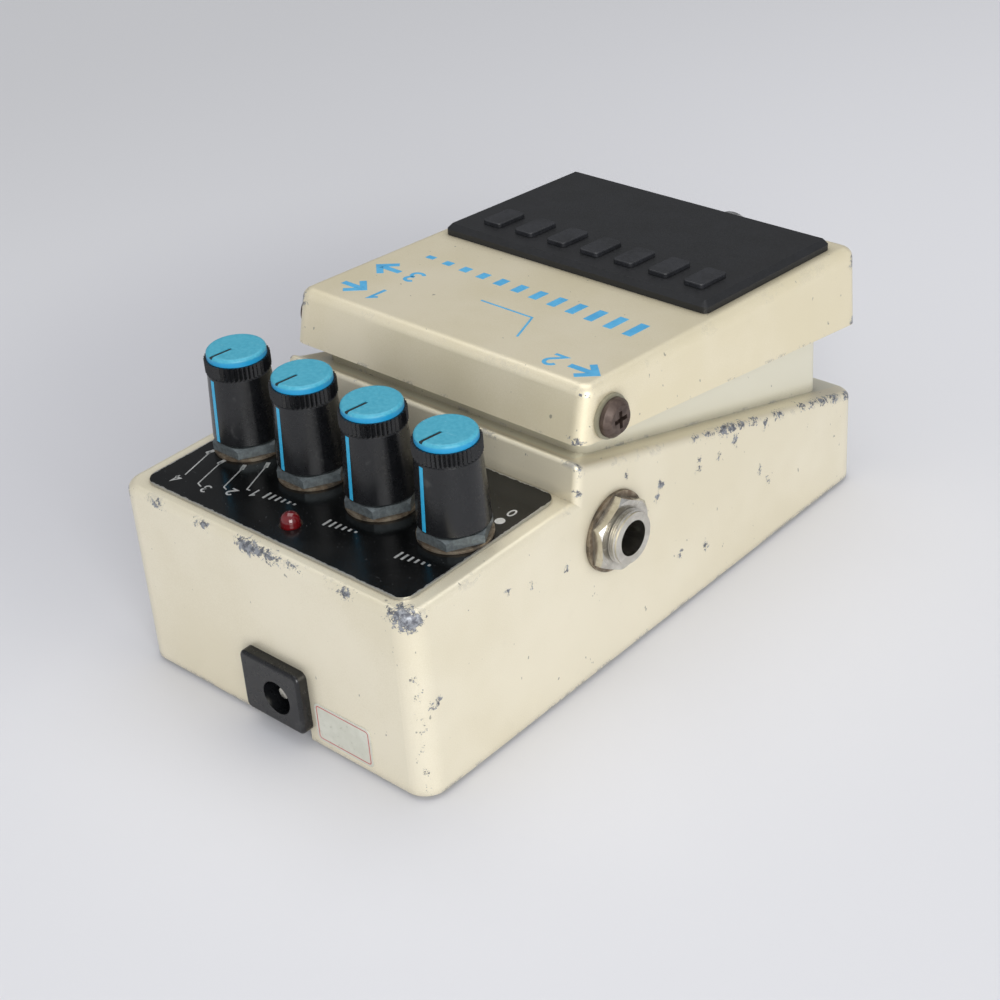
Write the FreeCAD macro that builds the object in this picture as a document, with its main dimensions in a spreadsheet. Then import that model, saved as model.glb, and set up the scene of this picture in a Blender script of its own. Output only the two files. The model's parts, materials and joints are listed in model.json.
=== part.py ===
import FreeCAD, Part

import functools
import math
import os
import re

import Sketcher
from FreeCAD import Placement, Rotation, Vector

# A compact digital delay pedal: a die-cast chassis with a control deck, a tub for the battery and
# the foot switch, and a hinged treadle over the tub. Millimetres. Z is up from the floor, -Y is the
# knob end with the power inlet, +Y is the player's end, and +X is the side with one output jack.

SIZES = {
    # Casting
    "casting_width": 70.0,
    "casting_length": 126.0,
    "corner_radius": 4.2,
    "rim_height": 0.8,
    "wall": 2.4,
    "edge_round": 1.5,
    "deck_height": 36.9,
    "deck_thickness": 2.4,
    "step_foot_y": -22.7,
    "step_run": 1.1,
    "step_rise": 7.1,
    "brow_depth": 2.4,
    "brow_fall": 1.4,
    "ledge_toe_height": 19.2,
    "ledge_thickness": 2.2,
    # Tub
    "tub_side_gap": 1.5,
    "tub_wall": 2.4,
    "tub_rear_gap": 3.2,
    "toe_ledge": 7.0,
    "tub_rear_rise": 8.2,
    "tub_front_height": 45.4,
    "tub_corner": 3.0,
    "jack_floor_gap": 3.1,
    "floor_thickness": 2.2,
    "bay_rear_y": 19.0,
    "bay_floor_height": 20.3,
    "lead_hole_inset": 9.0,
    "lead_hole_rise": 9.0,
    "lead_hole_radius": 2.6,
    # Hinge
    "hinge_inset": 3.3,
    "hinge_drop": 1.8,
    "ear_radius": 3.6,
    "ear_depth": 1.8,
    "shoulder_radius": 2.5,
    "thread_radius": 1.9,
    "thread_length": 3.4,
    "hinge_head_radius": 3.5,
    "hinge_rim_thickness": 0.8,
    "hinge_crown_thickness": 1.0,
    "hinge_crown_radius": 2.5,
    "hinge_recess_reach": 1.6,
    "hinge_recess_half": 0.4,
    "hinge_recess_depth": 0.9,
    "hinge_flange_radius": 4.0,
    "hinge_flange_thickness": 0.6,
    "hinge_head_gap": 0.15,
    "bush_wall": 0.7,
    # Treadle
    "treadle_inset": 0.6,
    "treadle_wall": 2.2,
    "treadle_rear_wall": 1.5,
    "treadle_rear_overhang": 0.8,
    "treadle_rear_lean": 2.6,
    "toe_overhang": 0.8,
    "toe_lean": 0.9,
    "hinge_cover": 6.9,
    "skirt_drop": 2.9,
    "treadle_toe_height": 50.3,
    "skirt_toe_height": 33.9,
    "treadle_corner": 2.8,
    "treadle_edge_round": 2.1,
    # Rubber pad on the treadle
    "pad_inset": 3.2,
    "pad_length": 39.6,
    "pad_toe_margin": 4.5,
    "pad_thickness": 2.2,
    "pad_bevel": 1.0,
    "pad_corner": 1.2,
    # Control deck
    "knob_row_shift": 1.75,
    "lamp_x": 0.6,
    "lamp_setback": 5.1,
    "lamp_radius": 1.8,
    "lamp_rise": 0.9,
    "lamp_seat_rise": 4.0,
    "lamp_leg_radius": 0.3,
    "lamp_leg_pitch": 2.54,
    "panel_inset": 3.6,
    "panel_rear_inset": 2.8,
    "panel_front_gap": 0.25,
    "panel_thickness": 0.5,
    "panel_corner": 3.0,
    # Potentiometers and their hardware
    "bushing_radius": 3.5,
    "bushing_rise": 0.8,
    "pot_gap": 0.87,
    "pot_side_gap": 0.095,
    "switch_can_gap": 1.47,
    "pot_depth": 9.0,
    "pot_floor": 1.0,
    "shaft_radius": 3.0,
    "pot_washer_radius": 6.45,
    "pot_washer_thickness": 0.5,
    "pot_nut_flats": 11.3,
    "pot_nut_thickness": 1.9,
    "nut_turn": 1.6,
    "nut_land": 0.25,
    # Knobs
    "knob_gap": 0.3,
    "knob_radius": 6.2,
    "knob_height": 15.3,
    "knob_foot_bevel": 0.3,
    "knurl_radius": 5.76,
    "knurl_height": 2.5,
    "knob_socket_radius": 4.4,
    "knob_socket_depth": 1.4,
    "knob_roof": 2.7,
    "knob_neck": 0.3,
    "knob_draft": 0.65,
    "shaft_end_gap": 0.1,
    "cap_radius": 5.25,
    "cap_spigot_radius": 4.6,
    "cap_rise": 1.4,
    "cap_seat": 0.4,
    "cap_round": 0.6,
    "pointer_width": 0.75,
    "pointer_depth": 0.45,
    "pointer_start": 0.9,
    "flute_depth": 0.45,
    # Jacks
    "jack_inset": 2.4,
    "jack_height": 27.1,
    "second_jack_y": 8.4,
    "jack_switch_gap": 1.7,
    "jack_bore": 3.25,
    "jack_bore_length": 10.0,
    "jack_cavity_radius": 4.3,
    "jack_cavity_length": 17,
    "jack_bushing_radius": 4.7,
    "jack_bushing_rise": 4.3,
    "jack_body_length": 23.0,
    "jack_body_width": 15.0,
    "jack_body_height": 12.4,
    "jack_nut_flats": 12.4,
    "jack_nut_thickness": 2.0,
    "jack_washer_radius": 7.4,
    "jack_washer_thickness": 0.6,
    # Power inlet
    "inlet_x": 1.4,
    "inlet_width": 14.4,
    "inlet_bottom": 3.0,
    "inlet_top": 15.1,
    "inlet_rise": 2.2,
    "inlet_body_width": 12.4,
    "inlet_body_top": 14.2,
    "inlet_body_depth": 13.0,
    "inlet_corner": 1.3,
    "inlet_edge_round": 0.7,
    "inlet_hole_shift": 1.3,
    "inlet_hole_height": 8.6,
    "inlet_hole_radius": 3.2,
    "power_pin_radius": 1.05,
    "power_pin_length": 8.0,
    "power_pin_setback": 1.6,
    "power_stem_radius": 0.85,
    "power_stem_gap": 0.3,
    "power_stem_root": 2.0,
    # Base
    "sole_thickness": 1.6,
    "plate_thickness": 1.2,
    "plate_gap": 0.3,
    "screw_inset_x": 6.4,
    "screw_inset_y": 6.6,
    "boss_radius": 4.3,
    "screw_radius": 1.4,
    "screw_length": 9.0,
    "screw_end_gap": 0.8,
    "screw_head_radius": 2.7,
    "screw_recess_reach": 1.7,
    "screw_recess_half": 0.4,
    "screw_recess_depth": 0.8,
    "sole_hole_radius": 3.6,
    "sheet_thickness": 0.3,
    "sheet_inset": 4.0,
    "sheet_rear_inset": 3.0,
    # Boards
    "board_bottom": 6.6,
    "board_thickness": 1.6,
    "board_side_gap": 1.6,
    "board_rear_gap": 11.1,
    "board_front_gap": 10.1,
    "rib_depth": 3.0,
    "rib_width": 2.0,
    "rear_rib_setback": 6.0,
    "front_rib_reach": 12.0,
    "control_board_gap": 0.6,
    "lamp_tongue_reach": 2.9,
    "lamp_tongue_width": 12.0,
    "chip_height": 3.4,
    "delay_chip_length": 25.0,
    "delay_chip_width": 9.5,
    "memory_length": 20.0,
    "memory_width": 7.5,
    "amplifier_length": 10.0,
    "amplifier_width": 7.0,
    "capacitor_radius": 2.5,
    "large_capacitor_radius": 3.0,
    "capacitor_height": 7.0,
    "low_capacitor_height": 5.8,
    # Foot switch
    "switch_inset": 18.7,
    "switch_y": 6.0,
    "switch_width": 12.0,
    "switch_height": 6.0,
    "switch_floor": 1.2,
    "plunger_radius": 2.4,
    "plunger_rise": 7.0,
    "switch_travel": 0.4,
    "presser_radius": 4.0,
    "presser_gap": 1.0,
    # Return spring
    "spring_inset": 18.7,
    "spring_y": 6.0,
    "spring_radius": 4.3,
    "spring_wire": 0.45,
    "spring_pitch": 2.9,
    "spring_post_radius": 3.2,
    "spring_post_height": 3.0,
    "spring_cup_radius": 6.0,
    "spring_cup_drop": 1.0,
    # Battery
    "battery_lead_room": 3.8,
    "battery_width": 26.4,
    "battery_height": 17.2,
    "battery_gap": 0.4,
    "battery_round": 2.0,
    "snap_thickness": 5.4,
    "snap_width": 13.0,
    "terminal_radius": 2.9,
    "terminal_length": 2.2,
    "terminal_pitch": 12.7,
    "foam_width": 30.0,
    "foam_rear_y": 24.0,
    "foam_front_y": 44.0,
    "foam_bottom": 43.8,
    # Thumbscrew at the player's end
    "thumb_radius": 2.5,
    "thumb_nose_radius": 1.6,
    "thumb_nose_gap": 1.4,
    "thumb_nose_length": 4.6,
    "thumb_head_radius": 5.8,
    "thumb_head_thickness": 4.0,
    "thumb_head_gap": 3.1,
    "thumb_slot_depth": 1.2,
    "thumb_slot_width": 1.2,
    "thumb_bush_wall": 0.9,
    "thumb_bush_rise": 0.1,
    "thumb_boss_radius": 5.0,
    "thumb_boss_depth": 3.5,
    "clip_radius": 3.1,
    "clip_thickness": 0.7,
    "clip_gap": 0.1,
    "slot_width": 4.4,
    "slot_below": 4.6,
    "slot_above": 2.6,
    "slot_roof": 2.6,
    # Fits
    "running_fit": 0.05,
    "push_fit": 0.02,
    "free_gap": 0.2,
    # How far joined solids run into each other, and how far a cut runs past its solid
    "bite": 0.5,
    "overrun": 1.0,
}

# Sizes that follow from those above
DERIVED = {
    "step_top_y": "step_foot_y + step_run",
    "brow_height": "deck_height + step_rise",
    "brow_end_y": "step_top_y + brow_depth",
    "ledge_step_height": "brow_height - brow_fall",
    "treadle_width": "casting_width - 2 * treadle_inset",
    "tub_width": "treadle_width - 2 * (treadle_wall + tub_side_gap)",
    "tub_rear_y": "brow_end_y + tub_rear_gap",
    "tub_front_y": "casting_length / 2 - toe_ledge",
    "tub_rear_height": "ledge_step_height + tub_rear_rise",
    "hinge_y": "tub_rear_y + hinge_inset",
    "hinge_height": "tub_rear_height - hinge_drop",
    "treadle_rear_y": "brow_end_y - treadle_rear_overhang",
    "treadle_rear_top_y": "treadle_rear_y + treadle_rear_lean",
    "treadle_rear_height": "hinge_height + hinge_cover",
    "skirt_rear_height": "hinge_height - skirt_drop",
    "treadle_toe_y": "casting_length / 2 + toe_overhang",
    "treadle_toe_top_y": "treadle_toe_y - toe_lean",
    "pad_width": "treadle_width - 2 * pad_inset",
    "pad_front_y": "treadle_toe_top_y - pad_toe_margin",
    "pad_rear_y": "pad_front_y - pad_length",
    "panel_width": "casting_width - 2 * panel_inset",
    "panel_rear_y": "panel_rear_inset - casting_length / 2",
    "knob_pitch": "(2 * (inner_wall - pot_side_gap) + pot_gap) / 4",
    "knob_y": "(step_foot_y - casting_length / 2) / 2 + knob_row_shift",
    "lamp_y": "panel_rear_y + lamp_setback",
    "jack_y": "tub_rear_y + jack_inset",
    "deck_underside": "deck_height - deck_thickness",
    "panel_top": "deck_height + panel_thickness",
    "floor_underside": "jack_height + jack_body_height / 2 + jack_floor_gap",
    "floor_height": "floor_underside + floor_thickness",
    "second_jack_height": "floor_underside - switch_height - jack_switch_gap - jack_body_height / 2",
    "inner_wall": "casting_width / 2 - wall",
    "bay_rear_wall": "bay_rear_y - tub_wall",
    "pot_width": "knob_pitch - pot_gap",
    "switch_can_radius": "(knob_pitch - switch_can_gap) / 2",
    "pot_foot": "deck_underside - pot_depth",
    "shaft_foot": "pot_foot + pot_floor",
    "nut_top": "panel_top + pot_washer_thickness + pot_nut_thickness",
    "knob_foot": "nut_top + knob_gap",
    "cap_foot": "knob_foot + knob_height - cap_seat",
    "shaft_top": "cap_foot - knob_roof - shaft_end_gap",
    "lamp_seat": "pot_foot + lamp_seat_rise",
    "sleeve_sunk": "jack_bore_length - wall - jack_bushing_rise",
    "inlet_face": "casting_length / 2 + inlet_rise",
    "inlet_hole_depth": "power_pin_setback + power_pin_length + power_stem_gap",
    "plate_top": "sole_thickness + plate_thickness",
    "screw_x": "casting_width / 2 - screw_inset_x",
    "screw_y": "casting_length / 2 - screw_inset_y",
    "board_top": "board_bottom + board_thickness",
    "board_width": "2 * (inner_wall - board_side_gap)",
    "board_rear_y": "board_rear_gap - (casting_length / 2 - wall)",
    "board_front_y": "casting_length / 2 - wall - board_front_gap",
    "plunger_foot": "floor_underside - switch_height + switch_floor",
    "plunger_top": "floor_height + plunger_rise",
    "rear_rib_y": "step_foot_y - rear_rib_setback",
    "front_rib_y": "bay_rear_y + front_rib_reach",
    "control_board_rear_y": "boss_radius + control_board_gap - screw_y",
    "control_board_front_y": "rear_rib_y - rib_width / 2 - control_board_gap",
    "switch_x": "switch_inset - tub_width / 2",
    "spring_x": "tub_width / 2 - spring_inset",
    "battery_left_x": "tub_wall + battery_gap - tub_width / 2",
    "snap_end_x": "tub_width / 2 - tub_wall - battery_lead_room",
    "battery_length": "snap_end_x - snap_thickness - battery_left_x",
    "hinge_head_foot": "treadle_width / 2 + hinge_flange_thickness + hinge_head_gap",
    "thumb_height": "tub_front_height - slot_roof - slot_above",
    "thumb_nose_tip_y": "tub_front_y + thumb_nose_gap",
    "thumb_bush_radius": "thumb_radius + running_fit + thumb_bush_wall",
    "thumb_boss_y": "treadle_toe_y - thumb_boss_depth",
    "bush_face_y": "treadle_toe_y + thumb_bush_rise",
    "thumb_head_y": "bush_face_y + thumb_head_gap",
}

FLUTES = 44
STATIONS_PER_TURN = 3
LEAST_TURN_GAP = 0.4
# How near a measured edge lies to the place it is picked by
NEAR = 0.1
EXACT = 1e-4

doc = FreeCAD.newDocument("DelayPedal")
sheet = doc.addObject("Spreadsheet::Sheet", "Sizes")
for row, (alias, number) in enumerate(SIZES.items(), start=1):
    sheet.set("A%d" % row, alias)
    sheet.set("B%d" % row, str(number))
    sheet.setAlias("B%d" % row, alias)
workings = doc.addObject("Spreadsheet::Sheet", "Workings")
doc.recompute()

NODES = []


def formula(text):
    """Turn the names of sizes in a formula into references to the sheet's cells."""
    def reference(found):
        word = found.group()
        if word in DERIVED:
            return "(" + formula(DERIVED[word]) + ")"
        return "Sizes." + word if word in SIZES else word
    return re.sub(r"[a-z_]+", reference, str(text))


@functools.lru_cache(maxsize=None)
def size(text):
    """The number that a size or a formula comes to, read from a cell of the second sheet."""
    workings.set("A1", "=" + formula(text))
    workings.recompute()
    return float(workings.get("A1"))


def node(shape_object, name):
    """Give a finished sub-part its name and list it."""
    shape_object.Label = name
    NODES.append(shape_object)
    return shape_object


def along(y, start_y, start_z, end_y, end_z):
    """Height at y on the straight line between two points of a side profile."""
    rise = "({1}) - ({0})".format(start_z, end_z)
    run = "(({1}) - ({0}))".format(start_y, end_y)
    return "(({0}) + ({1}) * (({2}) - ({3})) / {4})".format(start_z, rise, y, start_y, run)


def ledge_at(y):
    return along(y, "brow_end_y", "ledge_step_height", "casting_length / 2", "ledge_toe_height")


def treadle_top_at(y):
    return along(y, "treadle_rear_top_y", "treadle_rear_height", "treadle_toe_top_y", "treadle_toe_height")


def treadle_under_at(y):
    return "(" + treadle_top_at(y) + " - treadle_wall)"


# Sketches and features of a body


def new_body(name):
    return doc.addObject("PartDesign::Body", name)


def new_sketch(body, plane, offset=None):
    """A sketch on one of the body's own origin planes, moved along its normal by a formula."""
    sketch = body.newObject("Sketcher::SketchObject", body.Name + "_sketch")
    support = [item for item in body.Origin.OriginFeatures if item.Role == plane + "_Plane"][0]
    sketch.AttachmentSupport = (support, "")
    sketch.MapMode = "FlatFace"
    if offset is not None:
        sketch.setExpression("AttachmentOffset.Base.z", formula(offset))
    return sketch


def bind_point(sketch, geometry, which, point):
    """Hold one point of the sketch at formulas for its two coordinates."""
    for kind, text in zip(("DistanceX", "DistanceY"), point):
        index = sketch.addConstraint(Sketcher.Constraint(kind, -1, 1, geometry, which, 1.0))
        sketch.setExpression("Constraints[%d]" % index, formula(text))


def outline(sketch, points):
    """A closed outline of straight lines through points given as formulas."""
    first = sketch.GeometryCount
    count = len(points)
    corners = [Vector(math.cos(2 * math.pi * i / count), math.sin(2 * math.pi * i / count), 0)
               for i in range(count)]
    for i in range(count):
        sketch.addGeometry(Part.LineSegment(corners[i], corners[(i + 1) % count]))
    for i in range(count):
        follower = first + (i + 1) % count
        sketch.addConstraint(Sketcher.Constraint("Coincident", first + i, 2, follower, 1))
        bind_point(sketch, first + i, 1, points[i])


def rectangle(sketch, low_x, low_y, high_x, high_y):
    outline(sketch, [(low_x, low_y), (high_x, low_y), (high_x, high_y), (low_x, high_y)])


def circle(sketch, x, y, radius):
    index = sketch.addGeometry(Part.Circle(Vector(0, 0, 0), Vector(0, 0, 1), 1.0))
    bind_point(sketch, index, 3, (x, y))
    datum = sketch.addConstraint(Sketcher.Constraint("Radius", index, 1.0))
    sketch.setExpression("Constraints[%d]" % datum, formula(radius))


def pad(body, sketch, length, symmetric=False, reverse=False):
    feature = body.newObject("PartDesign::Pad", body.Name + "_raised")
    feature.Profile = sketch
    feature.setExpression("Length", formula(length))
    feature.SideType = "Symmetric" if symmetric else "One side"
    feature.Reversed = reverse
    doc.recompute()
    return feature


def pocket(body, sketch, length, symmetric=False, reverse=False):
    """Cut the sketch's area; a cut that takes nothing away is an error."""
    before = body.Shape.Volume
    feature = body.newObject("PartDesign::Pocket", body.Name + "_sunk")
    feature.Profile = sketch
    feature.setExpression("Length", formula(length))
    feature.SideType = "Symmetric" if symmetric else "One side"
    feature.Reversed = reverse
    doc.recompute()
    if body.Shape.Volume > before - 1e-3:
        raise RuntimeError(feature.Name + " cut nothing")
    return feature


def dress(body, kind, edges, radius):
    """A fillet or a chamfer on the edges that a test picks from the body's last feature."""
    base = body.Tip
    names = ["Edge%d" % (i + 1) for i, edge in enumerate(base.Shape.Edges) if edges(edge)]
    if not names:
        raise RuntimeError("no edge to dress on " + body.Name)
    feature = body.newObject("PartDesign::" + kind, body.Name + "_dressed")
    feature.Base = (base, names)
    feature.setExpression("Radius" if kind == "Fillet" else "Size", formula(radius))
    doc.recompute()
    return feature


def revolve(body, points):
    """Turn a half section in the XZ plane, given as radius and height, about Z."""
    sketch = new_sketch(body, "XZ")
    outline(sketch, points)
    feature = body.newObject("PartDesign::Revolution", body.Name + "_turn")
    feature.Profile = sketch
    feature.ReferenceAxis = (sketch, ["V_Axis"])
    feature.Angle = 360
    doc.recompute()
    return feature


def place(shape_object, x="0", y="0", z="0", rotation=None):
    if rotation is not None:
        shape_object.Placement = Placement(Vector(0, 0, 0), rotation)
    for axis, text in (("x", x), ("y", y), ("z", z)):
        shape_object.setExpression("Placement.Base." + axis, formula(text))
    return shape_object


# Plain solids and booleans

TURNS = {
    "+X": Rotation(Vector(0, 1, 0), 90),
    "-X": Rotation(Vector(0, 1, 0), -90),
    "+Y": Rotation(Vector(1, 0, 0), -90),
    "-Y": Rotation(Vector(1, 0, 0), 90),
    "+Z": Rotation(),
}


def block(name, low, high):
    """A box between two corners given as formulas."""
    box = doc.addObject("Part::Box", name)
    for side, start, end in zip(("Length", "Width", "Height"), low, high):
        box.setExpression(side, formula("({1}) - ({0})".format(start, end)))
    return place(box, *low)


def rod(name, axis, start, length, radius):
    """A cylinder from a start point along one of the named directions."""
    cylinder = doc.addObject("Part::Cylinder", name)
    cylinder.setExpression("Radius", formula(radius))
    cylinder.setExpression("Height", formula(length))
    return place(cylinder, *start, rotation=TURNS[axis])


def taper(name, axis, start, length, first_radius, last_radius):
    cone = doc.addObject("Part::Cone", name)
    cone.setExpression("Radius1", formula(first_radius))
    cone.setExpression("Radius2", formula(last_radius))
    cone.setExpression("Height", formula(length))
    return place(cone, *start, rotation=TURNS[axis])


def prism(name, sides, axis, start, length, corner_radius):
    bar = doc.addObject("Part::Prism", name)
    bar.Polygon = sides
    bar.setExpression("Circumradius", formula(corner_radius))
    bar.setExpression("Height", formula(length))
    return place(bar, *start, rotation=TURNS[axis])


def cut(name, base, tool):
    result = doc.addObject("Part::Cut", name)
    result.Base = base
    result.Tool = tool
    return result


def fuse(name, shapes):
    result = doc.addObject("Part::MultiFuse", name)
    result.Shapes = shapes
    result.Refine = True
    return result


def common(name, shapes):
    result = doc.addObject("Part::MultiCommon", name)
    result.Shapes = shapes
    return result


def group(name, shapes):
    """Separate solids that are one named sub-part."""
    result = doc.addObject("Part::Compound", name)
    result.Links = shapes
    return result


# Tests that pick edges


LEAST_EDGE = 3.0
LEAST_STEEPNESS = 0.7


def is_vertical(edge):
    box = edge.BoundBox
    return box.XLength < EXACT and box.YLength < EXACT


def is_upright(edge):
    """An edge at a corner of the plan, at right angles to the width and steep."""
    box = edge.BoundBox
    steep = box.ZLength > LEAST_STEEPNESS * box.YLength
    return box.XLength < EXACT and steep and box.ZLength > LEAST_EDGE


def is_crosswise(edge):
    box = edge.BoundBox
    return box.YLength < EXACT and box.ZLength < EXACT and box.XLength > LEAST_EDGE


# Die-cast chassis: a shell open below, with the tub let into its sloping ledge

CUP_FACE = "(" + treadle_under_at("spring_y + spring_cup_radius") + " - spring_cup_drop)"


def knob_x(place_number):
    """Across the deck, counted from the side away from the single jack."""
    return "(knob_pitch * %.1f)" % (place_number - 1.5)


def make_chassis():
    body = new_body("chassis")
    side = new_sketch(body, "YZ")
    outline(side, [
        ("-casting_length / 2", "rim_height"),
        ("-casting_length / 2", "deck_height"),
        ("step_foot_y", "deck_height"),
        ("step_top_y", "brow_height"),
        ("brow_end_y", "ledge_step_height"),
        ("casting_length / 2", "ledge_toe_height"),
        ("casting_length / 2", "rim_height"),
    ])
    pad(body, side, "casting_width", symmetric=True)

    def corner(edge):
        return is_upright(edge) and abs(abs(edge.BoundBox.Center.y) - size("casting_length") / 2) < NEAR

    def brow(edge):
        return is_crosswise(edge) and abs(edge.BoundBox.Center.z - size("brow_height")) < NEAR

    dress(body, "Fillet", corner, "corner_radius")
    dress(body, "Fillet", brow, "edge_round / 2")

    def top_rim(edge):
        """The outer edge of the deck, the brow and the ledge, but not the foot of the step."""
        centre = edge.BoundBox.Center
        if centre.z < size("rim_height") + 2 or is_upright(edge):
            return False
        on_side = abs(abs(centre.x) - size("casting_width") / 2) < NEAR and edge.BoundBox.XLength < EXACT
        on_end = abs(abs(centre.y) - size("casting_length") / 2) < NEAR and is_crosswise(edge)
        in_step = size("step_foot_y") - NEAR < centre.y < size("step_top_y + edge_round") - NEAR
        return (on_side and not in_step) or on_end

    dress(body, "Fillet", top_rim, "edge_round")

    hollow = new_sketch(body, "YZ")
    outline(hollow, [
        ("-casting_length / 2 + wall", "rim_height - wall"),
        ("-casting_length / 2 + wall", "deck_underside"),
        ("step_foot_y + wall", "deck_underside"),
        ("step_foot_y + wall", ledge_at("step_foot_y + wall") + " - ledge_thickness"),
        ("casting_length / 2 - wall", ledge_at("casting_length / 2 - wall") + " - ledge_thickness"),
        ("casting_length / 2 - wall", "rim_height - wall"),
    ])
    pocket(body, hollow, "casting_width - 2 * wall", symmetric=True)

    add_tub(body)
    add_bosses(body)
    cut_tub(body)
    cut_chassis_holes(body)
    return node(body, "chassis")


def add_tub(body):
    """The block that becomes the tub: high floor over the jacks, deep bay for the battery."""
    block_side = new_sketch(body, "YZ")
    outline(block_side, [
        ("tub_rear_y", ledge_at("tub_rear_y") + " - ledge_thickness - bite"),
        ("tub_rear_y", "tub_rear_height"),
        ("tub_front_y", "tub_front_height"),
        ("tub_front_y", "bay_floor_height - floor_thickness"),
        ("bay_rear_wall", "bay_floor_height - floor_thickness"),
        ("bay_rear_wall", ledge_at("bay_rear_wall") + " - ledge_thickness - bite"),
    ])
    pad(body, block_side, "tub_width", symmetric=True)

    def tub_corner(edge):
        centre = edge.BoundBox.Center
        near_rear = abs(centre.y - size("tub_rear_y")) < NEAR
        near_front = abs(centre.y - size("tub_front_y")) < NEAR
        on_side = abs(abs(centre.x) - size("tub_width") / 2) < NEAR
        above = centre.z > size("bay_floor_height")
        return is_upright(edge) and on_side and above and (near_rear or near_front)

    dress(body, "Fillet", tub_corner, "tub_corner")


def add_bosses(body):
    """Screw bosses at the corners, ribs that carry the main board, and the bosses of the hinge."""
    for sign in ("-", ""):
        corner = new_sketch(body, "XY", "plate_top")
        circle(corner, "screw_x", sign + "screw_y", "boss_radius")
        circle(corner, "-screw_x", sign + "screw_y", "boss_radius")
        top = "deck_underside" if sign else ledge_at("screw_y + boss_radius") + " - ledge_thickness"
        pad(body, corner, top + " - plate_top + bite")
    below_ledge = ledge_at("front_rib_y + rib_width / 2") + " - ledge_thickness - bite"
    for y, top in (("rear_rib_y", "deck_underside + bite"), ("front_rib_y", below_ledge)):
        ribs = new_sketch(body, "XY", "board_top")
        for sign in ("-", ""):
            inner = sign + "(inner_wall - rib_depth)"
            outer = sign + "(inner_wall + bite)"
            rectangle(ribs, inner, y + " - rib_width / 2", outer, y + " + rib_width / 2")
        pad(body, ribs, top + " - board_top")
    ears = new_sketch(body, "YZ")
    circle(ears, "hinge_y", "hinge_height", "ear_radius")
    pad(body, ears, "tub_width", symmetric=True)


def cut_tub(body):
    inside = new_sketch(body, "YZ")
    open_top = "hinge_height + ear_radius + overrun"
    outline(inside, [
        ("tub_rear_y + tub_wall", "floor_height"),
        ("tub_rear_y + tub_wall", open_top),
        ("tub_front_y - tub_wall", open_top),
        ("tub_front_y - tub_wall", "bay_floor_height"),
        ("bay_rear_y", "bay_floor_height"),
        ("bay_rear_y", "floor_height"),
    ])
    pocket(body, inside, "tub_width - 2 * tub_wall", symmetric=True)
    below = new_sketch(body, "YZ")
    outline(below, [
        ("tub_rear_y + tub_wall", "bay_floor_height"),
        ("tub_rear_y + tub_wall", "floor_underside"),
        ("bay_rear_wall", "floor_underside"),
        ("bay_rear_wall", "bay_floor_height"),
    ])
    pocket(body, below, "tub_width - 2 * tub_wall", symmetric=True)
    bosses = new_sketch(body, "YZ", "tub_width / 2 - tub_wall")
    circle(bosses, "hinge_y", "hinge_height", "ear_radius")
    pad(body, bosses, "ear_depth", reverse=True)
    bosses = new_sketch(body, "YZ", "-(tub_width / 2 - tub_wall)")
    circle(bosses, "hinge_y", "hinge_height", "ear_radius")
    pad(body, bosses, "ear_depth")
    post = new_sketch(body, "XY", "floor_height")
    circle(post, "spring_x", "spring_y", "spring_post_radius")
    pad(body, post, "spring_post_height")


def cut_chassis_holes(body):
    deck = new_sketch(body, "XY", "deck_height + overrun")
    for number in range(4):
        circle(deck, knob_x(number), "knob_y", "bushing_radius + free_gap")
    circle(deck, "lamp_x", "lamp_y", "lamp_radius + free_gap")
    pocket(body, deck, "deck_thickness + 2 * overrun")
    jack = new_sketch(body, "YZ", "casting_width / 2 + overrun")
    circle(jack, "jack_y", "jack_height", "jack_bushing_radius + free_gap")
    pocket(body, jack, "wall + 2 * overrun")
    jacks = new_sketch(body, "YZ", "-(casting_width / 2 + overrun)")
    circle(jacks, "jack_y", "jack_height", "jack_bushing_radius + free_gap")
    circle(jacks, "second_jack_y", "second_jack_height", "jack_bushing_radius + free_gap")
    pocket(body, jacks, "wall + 2 * overrun", reverse=True)
    inlet = new_sketch(body, "XZ", "casting_length / 2 + overrun")
    half = "(inlet_body_width / 2 + free_gap)"
    rectangle(inlet, "inlet_x - " + half, "rim_height - overrun",
              "inlet_x + " + half, "inlet_body_top + free_gap")
    pocket(body, inlet, "wall + 2 * overrun")
    hinge = new_sketch(body, "YZ")
    circle(hinge, "hinge_y", "hinge_height", "thread_radius + push_fit")
    pocket(body, hinge, "tub_width + 2 * overrun", symmetric=True)
    slot = new_sketch(body, "XZ", "-(tub_front_y + overrun)")
    rectangle(slot, "-slot_width / 2", "thumb_height - slot_below",
              "slot_width / 2", "thumb_height + slot_above")
    pocket(body, slot, "tub_wall + 2 * overrun", reverse=True)
    plunger = new_sketch(body, "XY", "floor_height + overrun")
    circle(plunger, "switch_x", "switch_y", "plunger_radius + running_fit")
    pocket(body, plunger, "floor_thickness + 2 * overrun")
    lead = new_sketch(body, "XZ", "-(bay_rear_y + overrun)")
    circle(lead, "tub_width / 2 - lead_hole_inset", "bay_floor_height + lead_hole_rise", "lead_hole_radius")
    pocket(body, lead, "tub_wall + 2 * overrun", reverse=True)
    screws = new_sketch(body, "XY", "plate_top - overrun")
    for sign_x in ("-", ""):
        for sign_y in ("-", ""):
            circle(screws, sign_x + "screw_x", sign_y + "screw_y", "screw_radius + push_fit")
    pocket(body, screws, "overrun + screw_length + screw_end_gap", reverse=True)


# Treadle: a cast cover hinged near the knobs, with a skirt that hides the tub


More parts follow.
